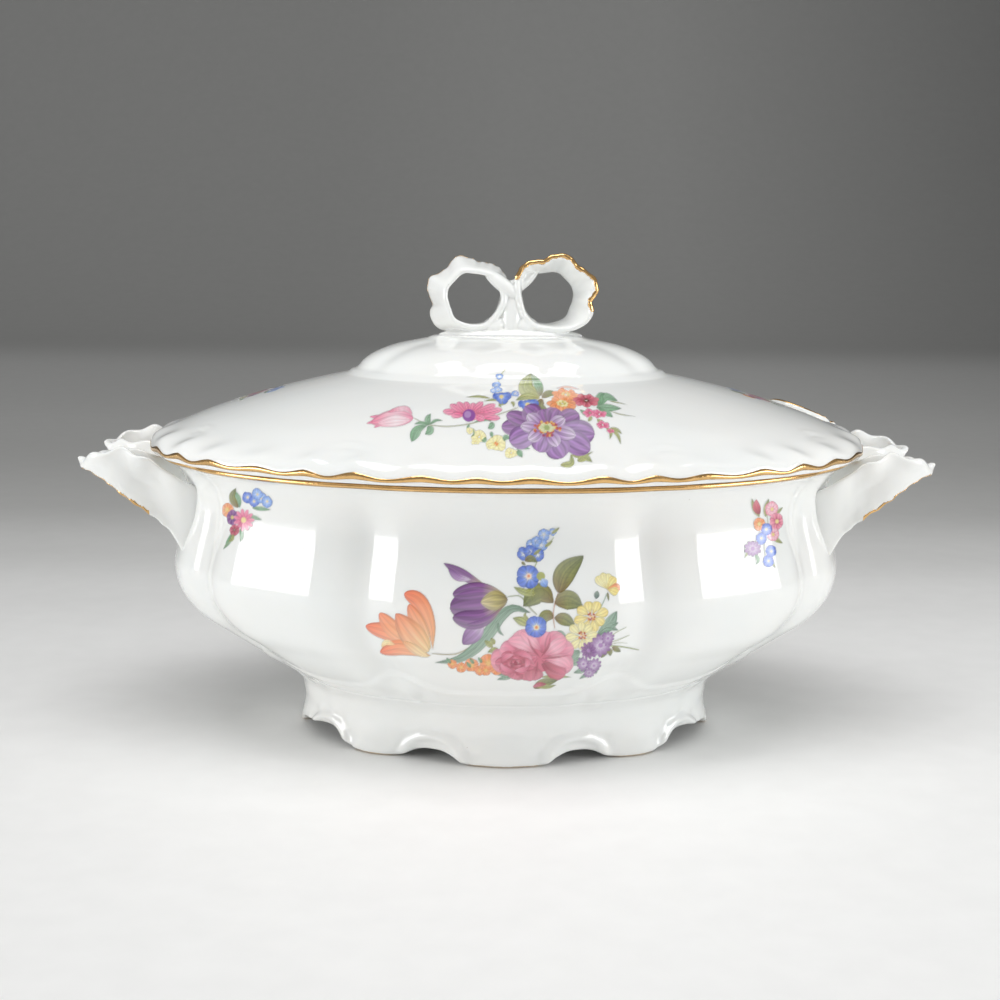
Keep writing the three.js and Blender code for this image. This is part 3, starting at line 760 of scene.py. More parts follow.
class TUREEN_OT_foot(bpy.types.Operator):
    """The foot with its arches and moulded hoods"""
    bl_idname = "tureen.foot"
    bl_label = "Foot"

    def execute(self, context):
        outline = fair_outline(FOOT_OUTLINE + FOOT_OUTLINE[:1], FOOT_GAP)[:-1]
        foot = turned_piece("glazed_foot", outline, FOOT_STEPS, foot_point, ring=True)
        finish_piece(foot, "bowl", "porcelain", foot_material(), "foot_ring")
        return {"FINISHED"}


def handle_edges(side, face):
    def edge(points):
        placed = [(side * x, face * y, z) for x, y, z in points]
        return lambda turn: closed_curve(placed, turn)
    return edge(HANDLE_TOP), edge(HANDLE_BOTTOM)


def handle_ripple(turn, width):
    """Pillows under the ribbon's top edge, small pleats at its lower edge, and a fold by the root."""
    shown = smooth(turn, 0.02, 0.1) * smooth(-turn, -0.8, -0.7)
    pillows = 1.15 * np.sin(turn * 2 * math.pi * 7.0 + 0.4 + 0.8 * width) * smooth(width, 0.0, 0.75)
    pleats = 0.12 * np.sin(turn * 2 * math.pi * 24.0) * smooth(-width, 0.5, 0.95)
    fold = -3.3 * np.exp(-(((turn - 0.145) / 0.075) ** 2)) * (1.0 - width ** 2)
    return shown * (pillows + pleats) + fold


def wavy_edge(edge, other, size, count):
    """The edge waving in and out along the line from the other edge."""
    def waved(turn):
        here, there = edge(turn), other(turn)
        out = here - there
        out /= np.maximum(np.linalg.norm(out, axis=1, keepdims=True), 1e-9)
        shown = smooth(turn % 1.0, 0.03, 0.12) * smooth(-(turn % 1.0), -0.78, -0.7)
        wave = size * np.sin((turn % 1.0) * 2 * math.pi * count) * shown
        return here + out * wave[:, None]
    return waved


class TUREEN_OT_handles(bpy.types.Operator):
    """Two ribbon-bow handles, luted on to the bowl, with gold along their lower edges"""
    bl_idname = "tureen.handles"
    bl_label = "Handles"

    def execute(self, context):
        # A form a little smaller than the bowl's outside cuts off the roots that would show inside.
        inner = [(0, 30, 0), (60, 31, 0)] + [(r - 1.1, z, 0) for r, z, _ in BOWL_OUTSIDE[5:12]]
        inner += [(138, 112, 0), (100, 113, 0), (0, 113, 0)]
        form = turned_piece("bowl_form", fair_outline(inner, 4.0), 120, bowl_point)
        for word, side in (("left", -1), ("right", 1)):
            rings = []
            for face in (1, -1):
                top, bottom = handle_edges(side, face)
                outwards = side * face
                rings.append(ribbon_ring(
                    "loop", wavy_edge(top, bottom, *HANDLE_TOP_WAVES),
                    wavy_edge(bottom, top, *HANDLE_BOTTOM_WAVES),
                    HANDLE_WALL, 160, 20, lambda turn, width: outwards * handle_ripple(turn, width)))
            knot = swollen_ball("knot", (side * 131, 0, 96), (9, 7.5, 15))
            handle = luted_together(f"bow_handle_{word}", rings + [knot], HANDLE_VOXEL, HANDLE_ROUNDS)
            cut_away(handle, form)
            only(handle)
            bpy.ops.object.shade_smooth()
            for end, face in (("front", 1), ("rear", -1)):
                gold_layer(handle, f"gold_handle_{word}_{end}", self.along_edge(side, face),
                           "bowl", f"handle_{word}_gilding_{end}")
            finish_piece(handle, "bowl", "porcelain", porcelain_material(), f"handle_{word}")
        drop(form)
        return {"FINISHED"}

    @staticmethod
    def along_edge(side, face):
        bottom = handle_edges(side, face)[1]
        edge = bottom(np.linspace(HANDLE_GOLD_FROM, HANDLE_GOLD_TO, 60))

        def chosen(centres, normals, mesh):
            gap = np.full(len(centres), 99.0)
            near = np.flatnonzero((centres[:, 0] * side > 134) & (centres[:, 1] * face < -18))
            gap[near] = np.linalg.norm(centres[near, None] - edge[None], axis=2).min(1)
            ragged = 0.2 * np.sin(centres[:, 0] * 1.3) * np.cos(centres[:, 1] * 2.1)
            return gap < HANDLE_GOLD_WIDTH + ragged
        return chosen


def notch_place(u, v):
    """A place on the lid, from its distance out from the notch's middle and sideways of it."""
    x = NOTCH_CENTRE[0] + u * math.cos(NOTCH_TURN) - v * math.sin(NOTCH_TURN)
    y = NOTCH_CENTRE[1] + u * math.sin(NOTCH_TURN) + v * math.cos(NOTCH_TURN)
    return x, y


def notch_point(share, margin):
    """The notch's half-oval outline, grown by a margin, at shares of the way round it."""
    turn = math.pi / 2 + np.asarray(share) * math.pi
    u = (NOTCH_DEPTH + margin) * np.cos(turn)
    v = (NOTCH_HALF_WIDTH + margin) * np.sin(turn)
    return notch_place(u, v)


def notch_cutter():
    """A cylinder bent to the notch: half an oval inwards, and straight-sided out past the rim."""
    start_fresh()
    bpy.ops.mesh.primitive_cylinder_add(vertices=64, radius=1.0, depth=NOTCH_CUT_HEIGHT * MM)
    cutter = bpy.context.object
    points = points_of(cutter)
    over, side = points[:, 0], points[:, 1]
    u = np.where(over > 1e-6, NOTCH_CUT_REACH * np.maximum(over, 0) ** 0.25, NOTCH_DEPTH * over)
    straight = np.sign(side) * NOTCH_HALF_WIDTH * np.minimum(1, np.abs(side) * 40)
    v = np.where(over > 0.02, straight, side * NOTCH_HALF_WIDTH)
    x, y = notch_place(u, v)
    put_points(cutter, np.stack([x * MM, y * MM, points[:, 2] + NOTCH_CUT_Z * MM], -1))
    return cutter


class TUREEN_OT_lid(bpy.types.Operator):
    """The scalloped lid with its ringed dome, ladle notch, locating collar and gold edge"""
    bl_idname = "tureen.lid"
    bl_label = "Lid"

    def execute(self, context):
        outline = fair_outline(LID_OUTLINE, LID_GAP)
        lid = turned_piece("glazed_lid", outline, LID_STEPS, lid_point)
        cutter = notch_cutter()
        rim = int(np.argmax(outline[:, 0]))
        rows = [i for i in range(rim - 14, rim + 14)
                if LID_GOLD_FROM < outline[i, 1] < LID_GOLD_TO and outline[i, 2] < 0.5]

        def on_edge(centres, normals, mesh):
            row = face_rows(mesh)
            return (row > rows[0]) & (row < rows[-1])

        rim_gold = gold_layer(lid, "gold_lid_edge", on_edge, "lid", "lid_edge_gilding")
        for piece in (lid, rim_gold):
            cut_away(piece, cutter)
        drop(cutter)
        finish_piece(lid, "lid", "porcelain", porcelain_material(), "lid_shell")
        only(lid)
        bpy.ops.object.shade_smooth_by_angle(angle=math.radians(50))
        outline = fair_outline(FLANGE_OUTLINE + FLANGE_OUTLINE[:1], FLANGE_GAP)[:-1]
        flange = turned_piece("glazed_lid_collar", outline, FLANGE_STEPS, plain_point, ring=True)
        finish_piece(flange, "lid", "porcelain", porcelain_material(), "lid_flange")
        return {"FINISHED"}


def lid_height(x, y):
    """The height of the lid's upper face near the notch."""
    rows = [(r, z) for r, z, inset in LID_OUTLINE[16:27]]
    return np.interp(np.hypot(x, y / BODY_RATIO), [r for r, _ in rows], [z for _, z in rows])


class TUREEN_OT_notch_collar(bpy.types.Operator):
    """The raised edge round the ladle notch, with its gold line"""
    bl_idname = "tureen.notch_collar"
    bl_label = "Notch collar"

    def execute(self, context):
        start_fresh()
        bpy.ops.mesh.primitive_uv_sphere_add(segments=20, ring_count=150, radius=1.0)
        collar = bpy.context.object
        collar.name = collar.data.name = "ladle_notch_collar"
        points = points_of(collar)
        along = np.arccos(np.clip(points[:, 2], -1, 1)) / math.pi
        around = np.arctan2(points[:, 1], points[:, 0])
        share = -0.02 + 1.04 * along
        end = np.minimum(along, 1 - along)
        size = np.sqrt(np.clip(1 - (1 - np.clip(end / 0.03, 0, 1)) ** 2, 0, 1))
        size = np.where(end <= 1e-6, 0.0, size)
        flare = 0.25 * np.sin(along * 40.0) ** 2
        x0, y0 = notch_point(share, 0.0)
        x1, y1 = notch_point(share, 2.6)
        middle = np.stack([(x0 + x1) / 2, (y0 + y1) / 2], -1)
        out = np.stack([x1 - x0, y1 - y0], -1)
        out /= np.linalg.norm(out, axis=1, keepdims=True)
        wide = (1.35 + flare) * np.sign(np.cos(around)) * np.abs(np.cos(around)) ** 0.8 * size
        tall = 1.9 * np.sign(np.sin(around)) * np.abs(np.sin(around)) ** 0.8 * size
        place = middle + out * (wide - 0.25 * tall)[:, None]
        base = lid_height(middle[:, 0], middle[:, 1])
        put_points(collar, np.column_stack([place, base + 1.1 + tall]) * MM)
        face_outwards(collar)
        bpy.ops.object.shade_smooth()

        def on_top(centres, normals, mesh):
            top = centres[:, 2] - lid_height(centres[:, 0], centres[:, 1])
            return (normals[:, 2] > 0.8) & (top > 1.5)

        gold_layer(collar, "gold_notch_collar", on_top, "lid", "notch_gilding")
        finish_piece(collar, "lid", "porcelain", porcelain_material(), "notch_collar")
        return {"FINISHED"}


def finial_edges(side):
    def ring(outline, grow, y):
        outline = sorted((angle % 360.0, reach) for angle, reach in outline)
        around = [(angle + lap, reach) for lap in (-360.0, 0.0, 360.0) for angle, reach in outline]
        dense = open_curve([(angle / 8.0, reach, 0.0) for angle, reach in around], 3000)

        def edge(turn):
            angle = np.asarray(turn) % 1.0 * 360.0
            reach = np.interp(angle / 8.0, dense[:, 0], dense[:, 1]) + grow
            angle = np.radians(angle)
            return np.stack([
                FINIAL_X + side * (LOOP_X + reach * np.cos(angle)), np.full(len(angle), side * y),
                LOOP_Z + reach * np.sin(angle)], -1)
        return edge
    holes = [(k * 22.5, reach) for k, reach in enumerate(HOLE_RADII)]
    flares = FLARE_RIGHT if side > 0 else FLARE_LEFT
    return ring(holes, 1.3, 6.2), ring(flares, -1.1, -6.2)


def finial_pleats(turn, width):
    """Gathers in the flared part of the loop, fading towards its small end."""
    gathers = np.sin(turn * 2 * math.pi * 21.0 + 2.0 * np.sin(turn * 2 * math.pi * 3.0))
    shown = smooth(turn % 1.0, 0.0, 0.04) * smooth(-(turn % 1.0), -0.46, -0.36)
    return 0.26 * gathers * smooth(-width, -0.5, 0.9) * shown


class TUREEN_OT_finial(bpy.types.Operator):
    """The ribbon-bow finial: two flared loops turned opposite ways, a crossed knot and a low base"""
    bl_idname = "tureen.finial"
    bl_label = "Finial"

    def execute(self, context):
        parts = []
        for side in (1, -1):
            small, flared = finial_edges(side)
            wavy = wavy_edge(flared, small, *FINIAL_WAVES)
            parts.append(ribbon_ring("loop", small, wavy, FINIAL_WALL, 180, 20, finial_pleats))
        parts += [
            swollen_ball("post", (FINIAL_X + 0.3, 0, 168), (5.4, 6.2, 15.5)),
            swollen_ball("strand", (FINIAL_X - 3.4, -2.2, 181.6), (9.6, 4.8, 3.0), tilt=38),
            swollen_ball("strand behind", (FINIAL_X + 3.4, 2.2, 181.6), (9.6, 4.8, 3.0), tilt=-38),
            swollen_ball("fold right", (FINIAL_X + 6.4, 0, 164.6), (6.4, 6.4, 4.2), tilt=28),
            swollen_ball("fold left", (FINIAL_X - 6.4, 0, 164.6), (6.4, 6.4, 4.2), tilt=-28),
            swollen_ball("base", (FINIAL_X, 0, 160.9), (29.4, 8, 3.5), segments=64),
        ]
        finial = luted_together("bow_finial", parts, FINIAL_VOXEL, FINIAL_ROUNDS)
        only(finial)
        bpy.ops.object.mode_set(mode="EDIT")
        bpy.ops.mesh.select_all(action="SELECT")
        bpy.ops.mesh.bisect(
            plane_co=(0, 0, FINIAL_FOOT_Z * MM), plane_no=(0, 0, 1), use_fill=True, clear_inner=True)
        bpy.ops.object.mode_set(mode="OBJECT")
        bpy.ops.object.shade_smooth_by_angle(angle=math.radians(70))
        for word, side in (("right", 1), ("left", -1)):
            gold_layer(finial, f"gold_finial_{word}", self.along_edge(side), "lid", f"finial_gilding_{word}")
        finish_piece(finial, "lid", "porcelain", porcelain_material(), "lid_finial")
        return {"FINISHED"}

    @staticmethod
    def along_edge(side):
        small, flared = finial_edges(side)
        wavy = wavy_edge(flared, small, *FINIAL_WAVES)
        turns = np.linspace(FINIAL_GOLD_FROM, FINIAL_GOLD_TO, 120) % 1.0
        edge, inner = wavy(turns), small(turns)
        out = (edge - inner) / np.linalg.norm(edge - inner, axis=1, keepdims=True)

        def chosen(centres, normals, mesh):
            gap = np.full(len(centres), 99.0)
            near = np.flatnonzero((centres[:, 1] * side < -2.5) & (centres[:, 2] > 164))
            apart = centres[near, None] - edge[None]
            distance = np.linalg.norm(apart, axis=2)
            nearest = distance.argmin(1)
            past = np.einsum("ij,ij->i", apart[np.arange(len(near)), nearest], out[nearest])
            gap[near] = np.where(past > -0.95, distance.min(1), 99.0)
            ragged = 0.25 * np.sin(centres[:, 0] * 1.7) * np.cos(centres[:, 2] * 1.9)
            return gap < FINIAL_GOLD_WIDTH + ragged
        return chosen


# ---- Flower prints ----

ORANGE = ((1.0, 0.52, 0.22), (1.0, 0.4, 0.18), (0.97, 0.17, 0.05))
PEACH = ((1.0, 0.72, 0.36), (1.0, 0.5, 0.26), (0.98, 0.24, 0.08))
PURPLE_TULIP = ((0.66, 0.6, 0.26), (0.24, 0.08, 0.29), (0.16, 0.035, 0.21))
LILAC = ((0.75, 0.66, 0.78), (0.42, 0.24, 0.5), (0.2, 0.06, 0.27))
VIOLET = ((0.16, 0.035, 0.2), (0.22, 0.06, 0.27), (0.3, 0.12, 0.37))
PALE_VIOLET = ((0.17, 0.05, 0.23), (0.36, 0.2, 0.46), (0.33, 0.15, 0.42))
BLUE = ((0.5, 0.62, 0.92), (0.12, 0.24, 0.78), (0.07, 0.15, 0.62))
PALE_BLUE = ((0.6, 0.72, 0.95), (0.3, 0.48, 0.9), (0.14, 0.28, 0.75))
OLIVE = ((0.22, 0.13, 0.02), (0.24, 0.25, 0.05), (0.16, 0.2, 0.05))
LIGHT_OLIVE = ((0.42, 0.42, 0.12), (0.45, 0.48, 0.16), (0.3, 0.36, 0.1))
SEA_GREEN = ((0.14, 0.26, 0.17), (0.3, 0.45, 0.33), (0.2, 0.34, 0.24))
FRESH_GREEN = ((0.16, 0.34, 0.18), (0.24, 0.46, 0.26), (0.17, 0.38, 0.2))
YELLOW = ((0.8, 0.55, 0.12), (0.95, 0.82, 0.32), (0.92, 0.72, 0.2))
PALE_YELLOW = ((0.85, 0.7, 0.2), (0.97, 0.9, 0.5), (0.9, 0.8, 0.35))
ROSE = ((0.5, 0.07, 0.13), (0.8, 0.22, 0.33), (0.88, 0.36, 0.48))
DEEP_ROSE = ((0.36, 0.04, 0.08), (0.56, 0.1, 0.16), (0.7, 0.18, 0.27))
BUD_PINK = ((0.86, 0.22, 0.38), (0.97, 0.62, 0.7), (0.88, 0.2, 0.34))
MAGENTA = ((0.62, 0.06, 0.16), (0.82, 0.14, 0.3), (0.88, 0.3, 0.45))
CRIMSON = ((0.3, 0.03, 0.06), (0.6, 0.07, 0.13), (0.78, 0.2, 0.26))
SALMON = ((0.9, 0.5, 0.12), (0.93, 0.3, 0.09), (0.92, 0.36, 0.16))
STEM = (0.33, 0.37, 0.2)


class Painter:
    """Lays soft-edged strokes of colour on a flat grid. u runs right and v up, in millimetres."""

    def __init__(self, u, v):
        self.u, self.v = u, v
        self.colour = np.zeros((len(u), 3))
        self.cover = np.zeros(len(u))

    def lay(self, picked, mask, colour):
        under = self.cover[picked] * (1 - mask)
        total = under + mask
        share = (mask / np.maximum(total, 1e-6))[:, None]
        self.colour[picked] = self.colour[picked] * (1 - share) + colour * share
        self.cover[picked] = total

    def brush(self, spine, width, tints, full=0.5, point=0.7, rim=0.35, streaks=0.12, veins=0.0,
              strength=0.94):
        """A stroke along its spine: tints run from its base to its tip, and full is where it is widest."""
        line = open_curve([(*p, 0.0) for p in spine], 18)[:, :2]
        low, high = line.min(0) - width, line.max(0) + width
        picked = np.flatnonzero(
            (self.u > low[0]) & (self.u < high[0]) & (self.v > low[1]) & (self.v < high[1]))
        if not len(picked):
            return
        spot = np.stack([self.u[picked], self.v[picked]], -1)
        begin, step = line[:-1], np.diff(line, axis=0)
        lengths = np.linalg.norm(step, axis=1)
        starts = np.concatenate([[0.0], np.cumsum(lengths)])
        apart = spot[:, None] - begin[None]
        t = np.clip(np.einsum("ijk,jk->ij", apart, step) / lengths ** 2, 0, 1)
        gap = np.linalg.norm(apart - t[..., None] * step[None], axis=2)
        best = gap.argmin(1)
        row = np.arange(len(spot))
        s = (starts[best] + t[row, best] * lengths[best]) / starts[-1]
        cross = step[best, 0] * apart[row, best, 1] - step[best, 1] * apart[row, best, 0]
        side = np.sign(cross) * gap[row, best]
        power = math.log(0.5) / math.log(full)
        half = width / 2 * np.maximum(np.sin(math.pi * np.clip(s, 1e-4, 1 - 1e-4) ** power), 0) ** point
        edge = half - np.abs(side)
        mask = smooth(edge, -0.12, 0.22) * strength
        shade = np.stack([np.interp(s, (0, 0.45, 1), [tint[k] for tint in tints]) for k in range(3)], -1)
        across = side / np.maximum(half, 0.05)
        darker = rim * np.exp(-np.maximum(edge, 0) / (0.08 * width + 0.08))
        phase = 7.0 * spine[0][0] + 3.0 * spine[-1][1]
        stripe = np.sin(across * 9.0 + 1.5 * np.sin(s * 4.0 + phase) + phase)
        stripe += 0.6 * np.sin(across * 21.0 + 2.0 * np.sin(s * 3.0) + 2.0 * phase)
        ribs = veins * (np.exp(-(side / 0.22) ** 2)
                        + 0.55 * np.maximum(0, np.sin((s * 7.0 - np.abs(across) * 1.1) * 2 * math.pi)) ** 6)
        tone = (1 - darker) * (1 + streaks * stripe) * (1 - ribs)
        light = np.clip(0.06 + 0.1 * across * streaks * 4, 0, 0.2)[:, None]
        self.lay(picked, mask, np.clip(shade * tone[:, None] * (1 - light) + light, 0, 1))

    def stem(self, spine, width=0.5, colour=STEM):
        self.brush(spine, width, (colour, colour, colour), full=0.5, point=0.12, rim=0.1, streaks=0.05)

    def leaf(self, spine, width, tints, full=0.42):
        self.brush(spine, width, tints, full=full, point=0.8, rim=0.3, streaks=0.16, veins=0.3)

    def dot(self, centre, radius, colour, strength=0.95):
        gap = np.hypot(self.u - centre[0], self.v - centre[1])
        picked = np.flatnonzero(gap < radius + 0.4)
        mask = smooth(radius - gap[picked], -0.15, 0.2) * strength
        self.lay(picked, mask, np.tile(np.array(colour, float), (len(picked), 1)))

    def flower(self, centre, radius, count, tints, heart=None, squash=1.0, turn=0.0, fat=1.0,
               heart_size=0.26, **look):
        """Petals round a heart; squash flattens the flower, as if it faced partly upwards."""
        for k in range(count):
            angle = turn + 2 * math.pi * k / count
            reach = radius * (1 + 0.1 * math.sin(5.0 * k + turn * 3))
            out = (math.cos(angle), math.sin(angle) * squash)
            base = (centre[0] + out[0] * reach * 0.12, centre[1] + out[1] * reach * 0.12)
            tip = (centre[0] + out[0] * reach, centre[1] + out[1] * reach)
            width = fat * 2.4 * radius * math.sin(math.pi / count) * math.hypot(
                math.cos(angle) * squash, math.sin(angle)) * 1.05
            self.brush([base, tip], width, tints, **{"full": 0.6, "point": 0.55, **look})
        if heart:
            self.dot(centre, radius * heart_size, heart)

    def dots(self, centre, radius, count, size, colours_, squash=1.0):
        for k in range(count):
            angle = 2 * math.pi * k / count + 0.4 * math.sin(k * 2.3)
            reach = radius * (0.82 + 0.22 * math.sin(k * 3.1))
            self.dot((centre[0] + reach * math.cos(angle), centre[1] + reach * squash * math.sin(angle)),
                     size, colours_[k % len(colours_)], 0.9)


def bowl_bouquet(p):
    """The large bouquet: two tulips, a rose, a blue spike, yellow and violet flowers, and foliage."""
    p.stem([(-26.4, -16.5), (-21, -16.8), (-17, -16.4), (-12.3, -14)], 0.55, (0.42, 0.36, 0.2))
    p.stem([(1.3, 4.4), (5.8, 4.6), (9, 0.9), (12, -2)], 0.6)
    p.stem([(19.6, 6), (18.4, 2), (18, -3), (18.6, -7)], 0.5, (0.5, 0.2, 0.1))
    p.stem([(18, 26), (14, 21), (11, 15), (9.5, 8), (10.5, 3)], 0.5, LIGHT_OLIVE[2])
    for spine, width in (([(35, -14), (40, -9), (45.1, -6.2)], 0.35),
                         ([(36, -12.6), (42, -11), (46.3, -9.2)], 0.35),
                         ([(36, -13), (43, -13.4), (50.6, -14.7)], 0.6),
                         ([(36, -13.5), (42, -12), (45.8, -12.1)], 0.3)):
        p.stem(spine, width, LIGHT_OLIVE[2])
    # Foliage behind the flowers.
    p.leaf([(9.7, -1.4), (3.5, 0.3), (-1.3, -3), (-5.2, -8.5), (-10.7, -14.8), (-17, -18.7), (-25.6, -19.9)],
           4.6, SEA_GREEN, full=0.45)
    p.leaf([(-2, -5), (-1.6, -8), (0.2, -9.8)], 1.4, SEA_GREEN)
    p.leaf([(18, 2.3), (13, 5.8), (7, 0.9)], 7.6, OLIVE, full=0.5)
    p.leaf([(18.4, 2.1), (23, 3.4), (28.6, 1.2)], 7.4, OLIVE, full=0.45)
    p.leaf([(19.7, 5.9), (22, 13), (28.9, 19.6)], 7.8, OLIVE, full=0.42)
    p.leaf([(18, -3), (15.5, -2.4), (12.8, -5.4)], 4.6, OLIVE)
    p.leaf([(18.4, -3), (22, -3.6), (26, -6)], 4.8, OLIVE)
    p.leaf([(9.2, -5.6), (6, -4.2), (3.2, -3.2)], 3.4, LIGHT_OLIVE)
    p.leaf([(9, -4), (7.6, -2.4), (8, -1)], 1.4, LIGHT_OLIVE)
    p.leaf([(11.5, 5.5), (7, 6.2), (3.4, 8)], 2.8, LIGHT_OLIVE)
    p.leaf([(11, 4.5), (10, 6), (11.6, 8.4)], 1.2, LIGHT_OLIVE)
    for tip, width in (((41.3, -0.4), 4.4), ((41.9, -4.6), 3.4), ((42, -7.4), 2.6)):
        p.leaf([(33.5, -10), (37.6, -6.4), tip], width, SEA_GREEN, full=0.55)
    p.leaf([(19, -8), (21, -8.6), (23.2, -11)], 1.8, SEA_GREEN)
    for base, tip in (((-4, -14), (-7, -11.4)), ((-3.4, -13), (-4.6, -10.4)), ((-2, -14.4), (-5.8, -15.8))):
        p.leaf([base, tip], 2.2, LIGHT_OLIVE)
    for base, tip, width in (((28, -15), (23.6, -18.5), 3.4), ((29, -18), (24.6, -20.4), 3.0),
                             ((31, -22), (26, -23.4), 2.2), ((33, -22.6), (28.4, -25.8), 1.8),
                             ((35, -20), (34.6, -24), 1.6)):
        p.leaf([base, tip], width, SEA_GREEN)
    for base, tip in (((38.4, -14), (36, -17.8)), ((39, -14), (39.6, -17)), ((40, -13.6), (43.6, -15.4))):
        p.leaf([base, tip], 2.2, OLIVE)
    for base, tip in (((3.6, -24.2), (-3.2, -24)), ((3.8, -24.6), (-2.4, -26.2))):
        p.leaf([base, tip], 2.0, SEA_GREEN)
    p.leaf([(14, -25), (20, -24.8), (25.5, -25)], 1.5, LIGHT_OLIVE)
    # Orange tulip.
    p.brush([(-25.8, -15.4), (-26.6, -6), (-31.4, 3), (-36.2, 5.4)], 6.2, ORANGE, full=0.72, point=0.5)
    p.brush([(-26.6, -14.8), (-31.6, -4.6), (-34.6, 1.4)], 5.4, PEACH, full=0.6, point=0.55)
    p.brush([(-28, -15.6), (-40.4, -9.6), (-51, -6.6)], 6.2, ORANGE, full=0.66, point=0.55)
    p.brush([(-28, -15), (-39, -9), (-45.6, -1.8)], 6.0, PEACH, full=0.66, point=0.55)
    p.brush([(-26.6, -17.4), (-38, -14.4), (-46, -16.4)], 6.0, ORANGE, full=0.62, point=0.6)
    p.brush([(-27.4, -15.8), (-33.4, -9.6), (-39.4, -1.8)], 9.2, PEACH, full=0.45, point=0.7, rim=0.42)
    p.brush([(-27.4, -17.8), (-31.6, -15.6), (-37, -12)], 3.6,
            ((1.0, 0.8, 0.45), (1.0, 0.7, 0.4), (0.96, 0.42, 0.18)))
    p.brush([(-45.4, -14.4), (-43.4, -12.6), (-40, -13.4)], 2.2,
            ((1.0, 0.7, 0.3), (1.0, 0.8, 0.4), (1.0, 0.6, 0.3)))
    # Purple tulip.
    p.brush([(-5, 7.2), (-10.4, 9.6), (-16, 13), (-22, 16.4)], 3.8, PURPLE_TULIP, full=0.55, point=0.7)
    p.brush([(-12, 10.4), (-17, 11.4), (-20.4, 14.6)], 2.8, LILAC, full=0.5)
    p.brush([(-7.4, -5), (-10, -8), (-15, -13)], 6.4, LILAC, full=0.5, point=0.7)
    p.brush([(1.2, 3.6), (-8.4, 1.6), (-19.6, 0.2)], 11.6, PURPLE_TULIP, full=0.6, point=0.5, streaks=0.2)
    p.brush([(1.2, 3.0), (-8.4, -3.6), (-18.6, -3.4)], 7.2, PURPLE_TULIP, full=0.66, point=0.55, streaks=0.22)
    p.brush([(0.8, 4.6), (-8.4, 6.6), (-18.6, 5)], 6.2, PURPLE_TULIP, full=0.6, point=0.5, streaks=0.2)
    p.brush([(1.4, 3.4), (-2.4, 3.0), (-8.4, 2.2)], 7.4,
            ((0.16, 0.1, 0.02), (0.5, 0.43, 0.13), (0.78, 0.7, 0.36)),
            full=0.45, strength=0.8, streaks=0.2)
    p.brush([(0.6, 1.6), (-5.6, -3.4), (-13.6, -5.8)], 1.3,
            ((0.3, 0.2, 0.05), PURPLE_TULIP[1], PURPLE_TULIP[2]), rim=0.1)
    # Blue spike.
    for centre, radius in (((17.4, 28), 1.2), ((14.2, 27), 1.9), ((9.6, 23.4), 1.7), ((13.4, 23), 2.0),
                           ((11.4, 24.4), 1.6)):
        p.flower(centre, radius * 1.2, 5, PALE_BLUE, turn=centre[0], fat=0.7, rim=0.45, full=0.68)
    for centre in ((7.0, 19.8), (9.4, 20.8), (12.2, 19.6)):
        p.flower(centre, 2.6, 5, BLUE, turn=centre[0], fat=0.7, rim=0.45, full=0.68)
    p.leaf([(7.4, 17.4), (9.6, 18.2), (12, 17)], 2.8, OLIVE)
    p.leaf([(6.2, 17), (7, 16.4), (7.8, 15.8)], 1.2, OLIVE)
    for tip in ((20, 29.6), (17.6, 24.8), (13.6, 22)):
        p.leaf([(tip[0] - 3, tip[1] - 2.4), tip], 1.3, LIGHT_OLIVE)
    p.flower((8.9, 11.8), 4.4, 5, BLUE, (0.95, 0.75, 0.6), turn=1.3, fat=0.74, rim=0.45, full=0.68)
    p.dot((8.9, 11.9), 0.55, (0.85, 0.35, 0.2))
    p.dot((13.3, 11.9), 1.6, LIGHT_OLIVE[1])
    p.brush([(13.6, 11), (15.4, 8)], 3.2, PALE_BLUE)
    # Yellow flowers.
    p.leaf([(37.6, 6.4), (38.2, 3)], 1.0, OLIVE)
    p.stem([(37.4, 6), (36, 2.4), (33.6, -2)], 0.5, SEA_GREEN[1])
    p.brush([(33.4, 3.8), (33.9, 6.9)], 2.2, ((0.08, 0.14, 0.12), (0.16, 0.24, 0.2), (0.3, 0.38, 0.3)))
    for tip, tints in (((33.4, 12), PALE_YELLOW), ((35.6, 13.4), PALE_YELLOW), ((38, 13.2), PALE_YELLOW),
                       ((40.4, 12), YELLOW), ((42.4, 8.4), SALMON), ((41.6, 6.4), YELLOW)):
        p.brush([(37.4, 7.4), tip], 3.4, tints, full=0.7, point=0.5, rim=0.25)
    p.flower((31.8, -2.4), 6.0, 8, YELLOW, turn=0.3, squash=1.05, fat=0.62, rim=0.4, full=0.7)
    p.flower((28.6, -9.6), 5.6, 8, PALE_YELLOW, turn=0.1, fat=0.62, rim=0.4, full=0.7)
    for centre in ((31.8, -2.6), (28.6, -9.4)):
        p.dots(centre, 1.5, 11, 0.42, ((0.5, 0.07, 0.04), (0.75, 0.3, 0.08), (0.4, 0.05, 0.05)))
        p.dots(centre, 0.6, 4, 0.4, ((0.9, 0.6, 0.2), (0.55, 0.1, 0.05)))
    # Violet flowers.
    for centre, radius, tints in (((35.6, -13), 4.6, LILAC), ((31.2, -15), 3.2, VIOLET),
                                  ((38.2, -10.4), 2.6, LILAC), ((29.6, -20), 2.8, LILAC),
                                  ((33.6, -20.6), 3.0, LILAC), ((32, -23.4), 2.2, LILAC)):
        p.flower(centre, radius, 11, tints, (0.42, 0.22, 0.5), turn=centre[1], fat=0.62, heart_size=0.2,
                 rim=0.2)
